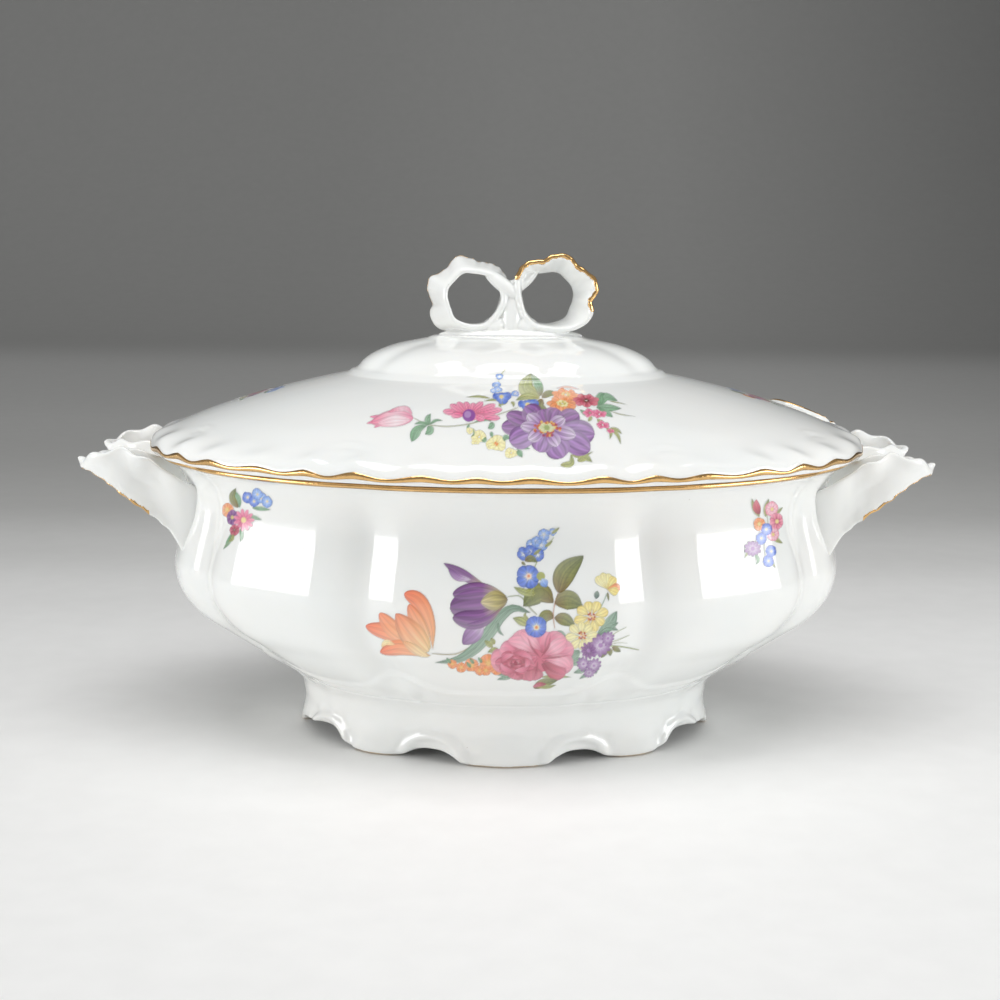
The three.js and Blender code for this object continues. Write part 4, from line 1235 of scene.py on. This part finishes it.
    # Orange-red florets.
    for centre, radius in (((-18.8, -20.3), 1.5), ((-15.6, -21.5), 1.7), ((-11.6, -20.8), 2.2),
                           ((-8.6, -22.8), 1.7), ((-5.4, -20), 2.9), ((-2.4, -21.8), 2.4),
                           ((-6.4, -22.6), 1.7)):
        p.flower(centre, radius * 1.15, 5, SALMON, (0.9, 0.55, 0.2), turn=centre[0], rim=0.25)
    for tip in ((-9.4, -17.6), (-12.4, -18), (-21, -17.9), (-13.6, -19.4)):
        p.leaf([(tip[0] + 1.6, tip[1] - 2.2), tip], 1.4, FRESH_GREEN)
    rose(p)
    p.flower((11.9, -6.6), 4.0, 5, BLUE, (0.9, 0.8, 0.5), turn=0.95, fat=0.78, rim=0.4, full=0.66)
    p.dot((11.9, -6.6), 0.6, (0.85, 0.3, 0.12))
    p.leaf([(11.4, -29.4), (15, -27.4), (20.4, -26.2)], 3.6, OLIVE)
    p.leaf([(12, -28.6), (17, -28.8), (20, -28)], 1.8, LIGHT_OLIVE)
    p.brush([(16.2, -27.8), (13.4, -28), (11, -28.9)], 1.9, DEEP_ROSE)


def rose(p):
    """A full rose: broad pale outer petals, darker folds, and a spiral heart."""
    p.dot((13.4, -18), 5.2, (0.66, 0.15, 0.23))
    outer = (
        ((8, -17), (1.4, -11.4), 8.4, ROSE), ((9, -16), (5.6, -7.6), 8.6, ROSE),
        ((10, -15), (10.6, -7.6), 7.4, ROSE), ((14, -16), (16.6, -8.2), 9.0, ROSE),
        ((15, -16), (22, -9.4), 9.0, ROSE), ((16, -17), (25.6, -13.6), 7.8, ROSE),
        ((15, -19), (25.9, -20.4), 8.2, ROSE), ((14, -20), (23, -24.2), 7.4, DEEP_ROSE),
        ((10, -20), (10.4, -26.6), 9.4, DEEP_ROSE), ((6, -20), (2.6, -25.4), 8.0, DEEP_ROSE),
        ((4, -18), (-4.6, -19.4), 9.0, ROSE), ((6, -16), (-1.4, -14.6), 7.6, ROSE))
    for base, tip, width, tints in outer:
        p.brush([base, tip], width, tints, full=0.66, point=0.5, rim=0.3, streaks=0.07)
    pale = ((0.66, 0.13, 0.22), (0.95, 0.5, 0.6), (0.93, 0.36, 0.48))
    for spine, width in (([(12, -16), (6.4, -12), (1.6, -11.2)], 5.0),
                         ([(14, -15), (9, -10.6), (6, -8.4)], 4.2),
                         ([(15, -17), (20, -13), (22.8, -10.8)], 5.4),
                         ([(15, -18), (22, -19), (25, -21.4)], 4.4)):
        p.brush(spine, width, pale, full=0.6, point=0.6, rim=0.22, streaks=0.08)
    folds = (
        ([(13.6, -17.6), (16.4, -13.4), (17, -9)], 1.0), ([(13.6, -17.8), (10.4, -14), (8.6, -9.8)], 0.9),
        ([(14, -18), (19.4, -17.4), (25, -16.6)], 1.0), ([(13, -18.4), (7, -15.6), (0.4, -15.6)], 0.9),
        ([(14, -18.4), (17.4, -22), (22, -24)], 1.2), ([(12.6, -18.8), (12.4, -22.6), (11.4, -26)], 1.0))
    for spine, width in folds:
        p.brush(spine, width, (DEEP_ROSE[0], DEEP_ROSE[0], DEEP_ROSE[2]), rim=0.1, strength=0.75)
    p.flower((4.8, -19.6), 7.4, 9, DEEP_ROSE, squash=0.66, turn=0.4, fat=1.1, rim=0.25)
    for turn, reach in ((0.3, 6.0), (1.8, 5.2), (3.2, 5.8), (4.6, 5.0), (5.6, 4.2)):
        arc = [(4.8 + reach * math.cos(turn + k * 0.5), -19.6 + 0.6 * reach * math.sin(turn + k * 0.5))
               for k in range(4)]
        p.brush(arc, 2.2, ROSE[::-1], full=0.5, point=0.6, rim=0.35, streaks=0.05)
    for turn in range(5):
        reach = 3.3 - 0.55 * turn
        arc = [(4.6 + reach * math.cos(turn * 1.9 + k * 0.7),
                -19.8 + 0.62 * reach * math.sin(turn * 1.9 + k * 0.7))
               for k in range(4)]
        p.brush(arc, 1.5, (DEEP_ROSE[0], DEEP_ROSE[1], ROSE[1]), rim=0.3)
    p.dot((4.6, -19.8), 0.8, DEEP_ROSE[0])


def lid_bouquet(p):
    """The lid's bouquet: a violet anemone with a pink bud, daisy, blue spike and small flowers."""
    p.stem([(-29.8, -1.1), (-27, -2.6), (-23.9, -3.7), (-16, -4.2), (-6.5, -2.6), (2.2, 0.6), (8.7, 3)], 0.55,
           (0.36, 0.38, 0.22))
    p.leaf([(-23.9, -3.6), (-24.6, -1.6), (-23.6, 0.6)], 2.4, FRESH_GREEN)
    p.leaf([(-23.9, -3.6), (-21.4, -2), (-18.9, -2.1)], 1.3, FRESH_GREEN)
    p.leaf([(-23.9, -3.8), (-27, -3), (-29.6, -3.5)], 1.5, FRESH_GREEN)
    p.leaf([(-24.4, -3.9), (-28, -5.6), (-29.9, -10)], 3.8, FRESH_GREEN, full=0.6)
    p.leaf([(-24.2, -4), (-23.4, -5.8), (-25.2, -7.3)], 3.0, FRESH_GREEN)
    p.stem([(4, 18.2), (1.8, 15), (1.4, 10), (2.4, 7)], 0.5, LIGHT_OLIVE[1])
    for spine, width in (([(-1.5, 6.5), (-6, 7.2), (-10.9, 6.9)], 1.2), ([(3, 6), (0, 6), (-4, 5.4)], 1.2),
                         ([(5, 5.4), (2, 4), (2.6, 3)], 1.8), ([(6, 5.2), (7, 4.6), (7, 3.2)], 1.4)):
        p.leaf(spine, width, LIGHT_OLIVE)
    p.leaf([(17.2, 7.6), (12, 10.4), (13.6, 16.6)], 6.2, LIGHT_OLIVE, full=0.45)
    p.leaf([(17.4, 7.6), (16.6, 12), (13.7, 16.6)], 3.4,
           ((0.3, 0.2, 0.06), FRESH_GREEN[1], (0.22, 0.3, 0.12)))
    p.leaf([(17, 6.8), (12, 7.4), (7.8, 5.8)], 3.0, LIGHT_OLIVE)
    p.leaf([(17.6, 7), (21, 8.8), (24, 8)], 2.8, OLIVE)
    p.leaf([(17.8, 6.6), (17, 3.6), (20, 2)], 3.4, OLIVE)
    for spine, width in (([(39, 4), (42, 7.6), (46.6, 6)], 3.4), ([(38.6, 4), (40.4, 8.4), (42, 8.9)], 3.2),
                         ([(38, 3.4), (42, 3.4), (47.6, 3)], 3.0),
                         ([(39, 3.4), (42.6, 0.8), (44, -0.4)], 3.0),
                         ([(36, 2.6), (34, 1), (31.6, 2.6)], 2.2), ([(43, 6), (46, 5.4), (50, 4.6)], 0.6),
                         ([(43, 2), (47, 0.8), (52.6, 0)], 0.5)):
        p.leaf(spine, width, FRESH_GREEN if width > 1 else LIGHT_OLIVE)
    for spine in ([(36, 0), (35.4, -1), (34.4, -2)], [(38, -1), (38.8, -1.8), (40.2, -1.6)],
                  [(41, -4), (42.6, -6), (42, -8.6)], [(42.6, -4.6), (45, -6.8), (46, -10.4)],
                  [(42.4, -4.4), (45, -5), (46.8, -6.6)]):
        p.leaf(spine, 1.5, LIGHT_OLIVE)
    for spine, width in (([(-1, -2.4), (-2.6, -1.6), (-7.6, -2.6)], 1.3),
                         ([(-0.8, -2.4), (-1, -4), (-2.4, -5)], 2.4),
                         ([(-9, -3.4), (-9.6, -4.6), (-8.6, -5.4)], 1.2)):
        p.leaf(spine, width, FRESH_GREEN)
    for spine, width in (([(23.6, -17.8), (27.6, -17), (27.6, -13.8)], 2.4),
                         ([(27.4, -14), (31, -14.8), (35.6, -13)], 1.4),
                         ([(29.8, -16.4), (32.6, -15), (35.2, -16.6)], 2.8)):
        p.leaf(spine, width, LIGHT_OLIVE)
    # Pink bud.
    for tip, width in (((-47.4, -3.4), 2.0), ((-46.6, -0.8), 1.8), ((-44.4, -5), 1.8), ((-38, 2.4), 2.2)):
        p.brush([(-38, -1), tip], width, (BUD_PINK[1], BUD_PINK[0], BUD_PINK[0]))
    p.brush([(-30, -1.2), (-38, -1.4), (-45.8, -3)], 6.6, BUD_PINK, full=0.45, point=0.6, rim=0.28)
    p.brush([(-30.4, 0.2), (-33, 2.4), (-40, 1)], 2.2, BUD_PINK, rim=0.3)
    p.brush([(-31, -1.8), (-37, -2.2), (-43, -3.2)], 4.0,
            ((0.97, 0.6, 0.68), (1.0, 0.8, 0.83), (0.95, 0.5, 0.6)), rim=0.1)
    # Magenta daisy.
    for tip in ((-19.2, 1.5), (-16.7, 4), (-14, 5), (-10.9, 5.3), (-7.6, 4.8), (-4.4, 5.2), (0.4, 4.2),
                (2.9, 2.3), (2.2, -1.1), (-3.6, -1.7), (-16, -0.2), (-7, -1.6)):
        p.brush([(-9.4 + (tip[0] + 9.4) * 0.1, 0.3), tip], 2.7, MAGENTA, full=0.68, point=0.5, rim=0.3,
                streaks=0.2)
    p.dot((-9.4, -0.1), 2.4, (0.25, 0.06, 0.34))
    p.dot((-9.9, 0.3), 1.3, (0.5, 0.32, 0.6), 0.7)
    # Blue spike.
    for centre, radius in (((1.8, 15.3), 1.6), ((0.6, 11.8), 1.8), ((1.2, 10), 1.6), ((-0.6, 9.6), 1.3),
                           ((7.6, 8.4), 1.6)):
        p.flower(centre, radius, 5, PALE_BLUE, turn=centre[1], squash=0.7)
    p.dot((1.8, 15.3), 0.5, (0.92, 0.93, 0.95))
    for centre, radius in (((2.5, 7.2), 3.9), ((12.3, 4.2), 4.2)):
        p.flower(centre, radius, 5, BLUE, (0.92, 0.72, 0.3), squash=0.42, turn=0.4, heart_size=0.2)
    # Orange and red flowers.
    p.flower((26.9, 8.2), 5.2, 9, SALMON, squash=0.36, rim=0.25)
    p.dots((26.9, 8.4), 1.5, 9, 0.4, ((0.75, 0.6, 0.25), (0.9, 0.75, 0.4)), squash=0.5)
    p.brush([(23.4, 10.8), (27.6, 11.4), (32.4, 10.4)], 1.0, (ROSE[2], SALMON[2], ROSE[2]), strength=0.6)
    p.flower((25.4, 4.6), 5.6, 9, SALMON, squash=0.5, turn=0.3, rim=0.35)
    p.flower((25.4, 4.8), 2.2, 9, PALE_YELLOW, squash=0.6)
    p.dots((25.4, 4.8), 1.2, 7, 0.35, ((0.55, 0.5, 0.1), (0.7, 0.5, 0.1)), squash=0.6)
    p.flower((34.5, 6), 4.8, 9, CRIMSON, squash=0.52, turn=0.2, rim=0.35)
    p.dots((34.5, 6), 0.9, 6, 0.42, ((0.12, 0.03, 0.03), (0.3, 0.08, 0.05)), squash=0.7)
    for centre, radius in (((35.4, 1.2), 3.0), ((39, 0.8), 2.8), ((39.8, -3.2), 2.7), ((42.6, -5.4), 1.5)):
        p.flower(centre, radius, 7, MAGENTA, squash=0.45, turn=centre[0])
    # Yellow florets.
    for centre, radius in (((-8.7, -5.8), 1.7), ((-5.4, -8), 3.0), ((-6.6, -9.8), 1.6), ((0.8, -10.5), 3.9),
                           ((6.2, -13.6), 2.5)):
        p.flower(centre, radius, 5, PALE_YELLOW, squash=0.62, turn=centre[0], rim=0.2)
    p.dots((0.8, -10.4), 0.5, 4, 0.4, ((0.85, 0.3, 0.08),))
    for spine, width in (([(-3, -8), (-3.6, -9.4), (-4.6, -9)], 1.6),
                         ([(3.6, -9.4), (4.2, -8), (6, -8.6)], 2.0),
                         ([(8, -12.4), (9.6, -11.6), (13.2, -12.2)], 1.5),
                         ([(8.4, -12.6), (9.2, -13.6), (10.2, -15.2)], 2.2),
                         ([(-8.4, -8), (-7.4, -7), (-7.8, -4.6)], 0.7),
                         ([(-1.4, -7.6), (-1, -6.6), (-0.6, -8.4)], 1.3)):
        p.leaf(spine, width, FRESH_GREEN)
    # Anemone.
    for tip, width, tints in (
            ((2.6, -4.2), 6.6, VIOLET), ((4.4, 0.4), 6.0, VIOLET), ((11.4, 3.5), 8.0, VIOLET),
            ((17.6, 2.4), 6.6, VIOLET), ((23.6, 2.6), 7.6, VIOLET), ((31.4, 0.8), 7.6, VIOLET),
            ((36.6, -6.6), 9.4, PALE_VIOLET), ((34.6, -12.4), 8.6, PALE_VIOLET),
            ((24.6, -15.2), 9.2, PALE_VIOLET), ((16, -13.2), 7.6, PALE_VIOLET),
            ((5.6, -9.6), 8.6, PALE_VIOLET)):
        p.brush([(19.2 + (tip[0] - 19.2) * 0.12, -4.6 + (tip[1] + 4.6) * 0.12), tip], width, tints,
                full=0.66, point=0.5, rim=0.42, streaks=0.26)
    for tip, width in (((12, 0.4), 5.0), ((26, -1), 5.2), ((9.6, -4), 4.6), ((29.6, -7.4), 5.6),
                       ((22.8, -11.2), 5.4), ((12.4, -8.8), 5.0)):
        p.brush([(19.2, -4.6), tip], width, (VIOLET[0], LILAC[1], LILAC[0]), full=0.62, point=0.55, rim=0.35,
                streaks=0.3, strength=0.8)
    p.dots((19.2, -4.6), 4.7, 34, 0.55, ((0.55, 0.1, 0.05), (0.8, 0.5, 0.12), (0.35, 0.05, 0.12)),
           squash=0.58)
    p.dots((19.2, -4.5), 3.6, 24, 0.5, ((0.85, 0.62, 0.2), (0.6, 0.14, 0.06)), squash=0.58)
    p.flower((19.2, -4.4), 2.9, 8, (LIGHT_OLIVE[1], (0.62, 0.66, 0.35), (0.7, 0.72, 0.45)), squash=0.5,
             rim=0.1)
    p.dot((19.2, -4.4), 1.0, (0.35, 0.42, 0.16))


def left_sprig(p):
    """A small sprig: blue florets over an olive leaf, an orange and a violet flower, and a pink daisy."""
    for tip, base, width in (((-4.4, 11), (-2.4, 4), 2.6), ((-8.6, -9.6), (-4, -4), 2.2),
                             ((-9.6, -12), (-5.6, -6), 1.8), ((-2, -9), (-2, -4), 1.8),
                             ((10.8, 3.2), (3, 4), 1.8), ((7, -0.6), (1, 1), 1.8)):
        p.leaf([base, ((base[0] + tip[0]) / 2 + 0.6, (base[1] + tip[1]) / 2), tip], width, FRESH_GREEN)
    p.stem([(-2, -2), (-5, -7), (-9, -11)], 0.4)
    p.leaf([(-3, 4), (-5.4, 8), (-3.2, 11.6)], 3.2, OLIVE)
    for centre in ((1.4, 8), (4, 6.4), (7, 7.6), (9.4, 6.4), (5.6, 9)):
        p.flower(centre, 2.2, 5, PALE_BLUE if centre[0] > 5 else BLUE, (0.9, 0.75, 0.4), turn=centre[0],
                 heart_size=0.2)
    p.flower((-8, 3.4), 2.9, 7, SALMON, (0.85, 0.6, 0.2), turn=0.2)
    p.flower((-5.6, 0.4), 2.9, 7, VIOLET, (0.7, 0.55, 0.2), turn=0.5)
    for k in range(11):
        angle = 2 * math.pi * k / 11
        p.brush([(-0.6, -0.6), (-0.6 + 4.6 * math.cos(angle), -0.6 + 4.4 * math.sin(angle))], 1.7, MAGENTA,
                full=0.65, point=0.5)
    p.dot((-0.6, -0.6), 1.1, (0.85, 0.7, 0.3))
    p.flower((-4.6, -4.4), 2.2, 6, DEEP_ROSE, turn=0.1)
    p.leaf([(-5, -6), (-5.6, -8), (-7.4, -8.8)], 1.6, LIGHT_OLIVE)


def right_sprig(p):
    """A small upright sprig: a red bud, pink and blue florets and a violet flower."""
    for tip, base, width in (((-6.4, 13), (-2.6, 6), 2.2), ((1, 13), (0, 6), 2.2), ((7.6, 10), (3, 5), 1.8),
                             ((-8.6, -9.6), (-4, -4), 1.8), ((4.4, -13.4), (1, -6), 2.0),
                             ((7.8, -4), (3, -1), 2.0)):
        p.leaf([base, ((base[0] + tip[0]) / 2 - 0.5, (base[1] + tip[1]) / 2), tip], width, LIGHT_OLIVE)
    p.stem([(0, 10), (1, 3), (-0.4, -5), (1.4, -13)], 0.45)
    p.brush([(-2.6, 7), (-4, 9.6), (-4.4, 12.6)], 3.4, CRIMSON, full=0.45)
    for centre, radius, tints in (((2.6, 9), 2.8, BUD_PINK), ((5, 4.4), 3.2, ROSE),
                                  ((3.4, -0.6), 2.8, BUD_PINK), ((-2.6, 3.4), 2.6, SALMON)):
        p.flower(centre, radius, 6, tints, (0.85, 0.7, 0.3), turn=centre[1])
    for centre in ((0.4, 1.4), (1.4, -10.6), (-1.6, -2), (2.6, -7)):
        p.flower(centre, 2.3, 5, BLUE, (0.9, 0.75, 0.4), turn=centre[0], heart_size=0.2)
    p.flower((-5.2, -6), 3.4, 10, LILAC, (0.42, 0.22, 0.5), fat=0.7, turn=0.3)
    p.leaf([(-4, -8), (-3, -10.6), (-4, -12)], 1.6, FRESH_GREEN)


def lid_sprig(p):
    """The little posy at each end of the lid."""
    left_sprig(p)
    p.flower((4.6, -3), 2.8, 7, VIOLET, (0.75, 0.6, 0.2), turn=0.3)
    p.flower((2.6, -6.6), 2.1, 5, PALE_YELLOW, (0.85, 0.5, 0.1), turn=0.6)
    p.leaf([(5, -6), (8, -7), (10.6, -5.6)], 2.0, FRESH_GREEN)


# Name, body, drawing, middle of the drawing, degrees it faces round the tureen and upwards, and size.
PRINTS = (
    ("print_bowl_front", "bowl", bowl_bouquet, (-0.8, -95, 69.6), 0, 13.8, (106, 64)),
    ("print_bowl_back", "bowl", bowl_bouquet, (0.8, 95, 69.6), 180, 13.8, (106, 64)),
    ("print_bowl_front_left", "bowl", left_sprig, (-99, -62, 96), 0, 11, (24, 28)),
    ("print_bowl_front_right", "bowl", right_sprig, (98, -62, 92), 0, 11, (22, 30)),
    ("print_bowl_back_left", "bowl", left_sprig, (99, 62, 96), 180, 11, (24, 28)),
    ("print_bowl_back_right", "bowl", right_sprig, (-98, 62, 92), 180, 11, (22, 30)),
    ("print_lid_front", "lid", lid_bouquet, (-4.8, -74, 137.4), 0, 7.8, (106, 38)),
    ("print_lid_back", "lid", lid_bouquet, (4.8, 74, 137.4), 180, 7.8, (106, 38)),
    ("print_lid_left", "lid", lid_sprig, (-101, 0, 137), -90, 70, (26, 30)),
    ("print_lid_right", "lid", lid_sprig, (101, 0, 137), 90, 70, (26, 30)),
)


PRINT_LIFT = 0.06 * MM
PRINT_THICKNESS = 0.03 * MM
PRINT_DROP = 60 * MM  # how far a flat print starts from the glaze
PRINT_SOFTENING = 8


class TUREEN_OT_prints(bpy.types.Operator):
    """The flower prints, drawn flat, then laid on the glaze as a thin fired layer"""
    bl_idname = "tureen.prints"
    bl_label = "Flower prints"

    def execute(self, context):
        for name, body, draw, centre, facing, rise, span in PRINTS:
            base = bpy.data.objects["glazed_bowl" if body == "bowl" else "glazed_lid"]
            self.lay_print(name, base, draw, centre, facing, rise, span, body)
        return {"FINISHED"}

    @staticmethod
    def lay_print(name, base, draw, centre, facing, rise, span, body):
        grain = sizes().print_grain / MM * 1.0
        start_fresh()
        bpy.ops.mesh.primitive_grid_add(
            x_subdivisions=int(span[0] / grain), y_subdivisions=int(span[1] / grain), size=1.0)
        sheet = bpy.context.object
        sheet.name = sheet.data.name = name
        flat = points_of(sheet)
        u, v = flat[:, 0] * span[0], flat[:, 1] * span[1]
        painter = Painter(u, v)
        draw(painter)
        put_points(sheet, np.stack([u * MM, v * MM, np.zeros(len(u))], -1))
        paint = sheet.data.color_attributes.new("paint", "FLOAT_COLOR", "POINT")
        enamel = np.column_stack([painter.colour, np.clip(painter.cover, 0, 1)])
        paint.data.foreach_set("color", enamel.astype(np.float32).ravel())
        sheet.data.color_attributes.active_color = paint
        corners = np.empty(len(sheet.data.loops), np.int32)
        sheet.data.loops.foreach_get("vertex_index", corners)
        bare = painter.cover[corners].reshape(-1, 4).max(1) < 0.02
        delete_faces(sheet, bare)
        sheet.rotation_euler = (math.radians(90 - rise), 0.0, math.radians(facing))
        out = sheet.rotation_euler.to_matrix() @ Vector((0, 0, 1))
        sheet.location = Vector(centre) * MM + out * PRINT_DROP
        bpy.context.view_layer.update()
        apply_modifier(
            sheet, "SHRINKWRAP", "laid on", target=base, wrap_method="PROJECT",
            wrap_mode="ABOVE_SURFACE", use_project_x=False, use_project_y=False, use_project_z=True,
            use_negative_direction=True, use_positive_direction=False, offset=PRINT_LIFT)
        only(sheet)
        bpy.ops.object.transform_apply(location=True, rotation=True, scale=True)
        apply_modifier(sheet, "SMOOTH", "fired flat", factor=0.5, iterations=PRINT_SOFTENING)
        apply_modifier(sheet, "SOLIDIFY", "fired layer", thickness=PRINT_THICKNESS, offset=1.0)
        bpy.ops.object.shade_smooth()
        finish_piece(sheet, body, "transfer_print", print_material())


# ---- Stage ----

CAMERA_ASIDE = -2.5 * MM
CAMERA_AIM_HEIGHT = 93 * MM
CAMERA_ROLL = math.radians(0.45)
SENSOR_WIDTH = 36.0

# The softboxes: name, place, what it points at, width and height, in metres.
SIDE_BOXES = (
    ("softbox_left", (-0.95, -0.42, 0.2), (0, 0, 0.06), 0.62, 0.42),
    ("softbox_right", (0.95, -0.42, 0.2), (0, 0, 0.06), 0.62, 0.42),
)
LOW_BOX = ("low_fill", (0, -0.8, 0.06), (0, 0, 0.05), 1.2, 0.1)
TOP_BOX = ("softbox_top", (0.0, -0.25, 1.15), (0, 0.0, 0.08), 0.9, 0.6)
ROOM_COLOUR = (0.88, 0.885, 0.89, 1.0)
ROOM_STRENGTH = 0.36
SWEEP_WIDTH, SWEEP_DEPTH, SWEEP_HEIGHT, SWEEP_FOLD = 8.0, 5.6, 3.5, 1.2
# The backdrop's painted shade, standing in for the light falling off behind the tureen: share of the way
# back, and how much of the card's colour is left.
SWEEP_PAINTED_SHADE = (
    (0.0, 1.0), (0.115, 1.0), (0.164, 0.93), (0.226, 0.78), (0.306, 0.615), (0.41, 0.585), (0.56, 0.645),
    (0.79, 0.69), (1.0, 0.53),
)


def softbox(name, place, target, width, height, power):
    start_fresh()
    bpy.ops.object.light_add(type="AREA", location=place)
    light = bpy.context.object
    light.name = light.data.name = name
    light.data.shape = "RECTANGLE"
    light.data.size, light.data.size_y = width, height
    light.data.energy = power
    light.rotation_euler = (Vector(target) - Vector(place)).to_track_quat("-Z", "Y").to_euler()
    return light


class TUREEN_OT_stage(bpy.types.Operator):
    """A pale sweep with painted shade that falls off to grey behind, softboxes, and the camera"""
    bl_idname = "tureen.stage"
    bl_label = "Stage"

    def execute(self, context):
        studio = context.scene.tureen_studio
        self.make_sweep()
        for box in SIDE_BOXES:
            softbox(*box, studio.side_light)
        fill = softbox(*LOW_BOX, studio.fill_light)
        fill.visible_glossy = False
        softbox(*TOP_BOX, studio.top_light)
        context.scene.view_settings.view_transform = "Standard"
        world = context.scene.world or bpy.data.worlds.new("studio")
        context.scene.world = world
        world.use_nodes = True
        room = world.node_tree.nodes["Background"]
        room.inputs["Color"].default_value = ROOM_COLOUR
        room.inputs["Strength"].default_value = ROOM_STRENGTH
        start_fresh()
        low = math.cos(studio.elevation) * studio.distance
        high = math.sin(studio.elevation) * studio.distance
        bpy.ops.object.camera_add(location=(CAMERA_ASIDE, -low, CAMERA_AIM_HEIGHT + high))
        camera = context.object
        camera.name = camera.data.name = "camera"
        camera.data.lens = studio.lens
        camera.data.sensor_width = SENSOR_WIDTH
        tilt = Matrix.Rotation(math.pi / 2 - studio.elevation, 4, "X") @ Matrix.Rotation(CAMERA_ROLL, 4, "Z")
        camera.matrix_world = Matrix.Translation(camera.location) @ tilt
        context.scene.camera = camera
        return {"FINISHED"}

    @staticmethod
    def make_sweep():
        """The table and backdrop in one piece: a plane whose far edge is drawn up, its fold rounded."""
        start_fresh()
        bpy.ops.mesh.primitive_plane_add(size=1.0, location=(0, 0.2, -0.0002), scale=(1, 1, 1))
        sweep = bpy.context.object
        sweep.name = sweep.data.name = "sweep"
        put_points(sweep, [(x * SWEEP_WIDTH, y * SWEEP_DEPTH, 0.0) for x, y, _ in points_of(sweep)])
        far = {i for i, p in enumerate(points_of(sweep)) if p[1] > 1}
        bpy.ops.object.mode_set(mode="EDIT")
        bpy.ops.mesh.select_mode(type="EDGE")
        bpy.ops.mesh.select_all(action="DESELECT")
        bpy.ops.object.mode_set(mode="OBJECT")
        for edge in sweep.data.edges:
            edge.select = set(edge.vertices) == far
        bpy.ops.object.mode_set(mode="EDIT")
        bpy.ops.mesh.extrude_region_move(TRANSFORM_OT_translate={"value": (0, 0, SWEEP_HEIGHT)})
        bpy.ops.object.mode_set(mode="OBJECT")
        for edge in sweep.data.edges:
            edge.select = set(edge.vertices) == far
        bpy.ops.object.mode_set(mode="EDIT")
        bpy.ops.mesh.bevel(offset=SWEEP_FOLD, segments=24)
        bpy.ops.mesh.select_all(action="SELECT")
        bpy.ops.mesh.normals_make_consistent(inside=False)
        bpy.ops.object.mode_set(mode="OBJECT")
        bpy.ops.object.shade_smooth()
        bpy.ops.object.transform_apply(location=True, rotation=True, scale=True)
        sweep.data.materials.append(backdrop_painted_shade_material())


def backdrop_painted_shade_material():
    """Matt card with painted shade: pale where the tureen stands, darkened to grey behind it and towards the
    sides where the light falls off.
    """
    material, tree = new_material("backdrop card with painted shade")
    if tree:
        shader = tree.nodes["Principled BSDF"]
        place = add(tree, "ShaderNodeTexCoord").outputs["Object"]
        split = add(tree, "ShaderNodeSeparateXYZ")
        tree.links.new(place, split.inputs["Vector"])
        # Painted shade: the card's colour darkens with distance back, standing in for the light falling off.
        back = ranged(tree, split.outputs["Y"], -0.1, 1.9, 0.0, 1.0)
        ramp = add(tree, "ShaderNodeValToRGB")
        tree.links.new(back, ramp.inputs["Fac"])
        base = colours().floor
        steps = ramp.color_ramp
        steps.interpolation = "EASE"
        while len(steps.elements) < len(SWEEP_PAINTED_SHADE):
            steps.elements.new(0.5)
        for step, (at, share) in zip(steps.elements, SWEEP_PAINTED_SHADE):
            step.position = at
        for step, (at, share) in zip(steps.elements, SWEEP_PAINTED_SHADE):
            step.color = (base[0] * share, base[1] * share, base[2] * share * (0.97 + 0.03 * share), 1.0)
        grain = ranged(tree, noise(tree, place, 60.0, 6.0), 0.3, 0.7, 0.985, 1.015)
        # Painted shade: the card's colour darkens towards the sides, most to the right, where the light falls
        # off.
        left = ranged(tree, split.outputs["X"], -0.3, 0.0, 0.92, 1.0)
        right = ranged(tree, split.outputs["X"], 0.3, 1.05, 1.0, 0.56)
        painted_side_shade = add(tree, "ShaderNodeMath", operation="MULTIPLY")
        tree.links.new(left, painted_side_shade.inputs[0])
        tree.links.new(right, painted_side_shade.inputs[1])
        # The painted side shade, times the card's own grain.
        tone = add(tree, "ShaderNodeMath", operation="MULTIPLY")
        tree.links.new(painted_side_shade.outputs["Value"], tone.inputs[0])
        tree.links.new(grain, tone.inputs[1])
        tint = add(tree, "ShaderNodeVectorMath", operation="SCALE")
        tree.links.new(ramp.outputs["Color"], tint.inputs[0])
        tree.links.new(tone.outputs["Value"], tint.inputs["Scale"])
        tree.links.new(tint.outputs["Vector"], shader.inputs["Base Color"])
        shader.inputs["Roughness"].default_value = 0.6
    return material


# ---- Panel and running ----

STEPS = ("bowl", "foot", "handles", "lid", "notch_collar", "finial", "prints", "stage")


class TUREEN_PT_panel(bpy.types.Panel):
    bl_idname = "TUREEN_PT_panel"
    bl_label = "Soup tureen"
    bl_space_type = "VIEW_3D"
    bl_region_type = "UI"
    bl_category = "Tureen"

    def draw(self, context):
        for group in (context.scene.tureen_sizes, context.scene.tureen_colours, context.scene.tureen_studio):
            for name in group.bl_rna.properties.keys():
                if name not in ("rna_type", "name"):
                    self.layout.prop(group, name)
        for step in STEPS:
            self.layout.operator(f"tureen.{step}")


CLASSES = (
    TureenSizes, TureenColours, StudioSettings, TUREEN_OT_bowl, TUREEN_OT_foot, TUREEN_OT_handles,
    TUREEN_OT_lid, TUREEN_OT_notch_collar, TUREEN_OT_finial, TUREEN_OT_prints, TUREEN_OT_stage,
    TUREEN_PT_panel,
)


def register():
    for cls in CLASSES:
        bpy.utils.register_class(cls)
    bpy.types.Scene.tureen_sizes = bpy.props.PointerProperty(type=TureenSizes)
    bpy.types.Scene.tureen_colours = bpy.props.PointerProperty(type=TureenColours)
    bpy.types.Scene.tureen_studio = bpy.props.PointerProperty(type=StudioSettings)


def unregister():
    del bpy.types.Scene.tureen_studio
    del bpy.types.Scene.tureen_colours
    del bpy.types.Scene.tureen_sizes
    for cls in reversed(CLASSES):
        bpy.utils.unregister_class(cls)


def main():
    register()
    for step in STEPS:
        getattr(bpy.ops.tureen, step)()


if __name__ == "__main__":
    main()
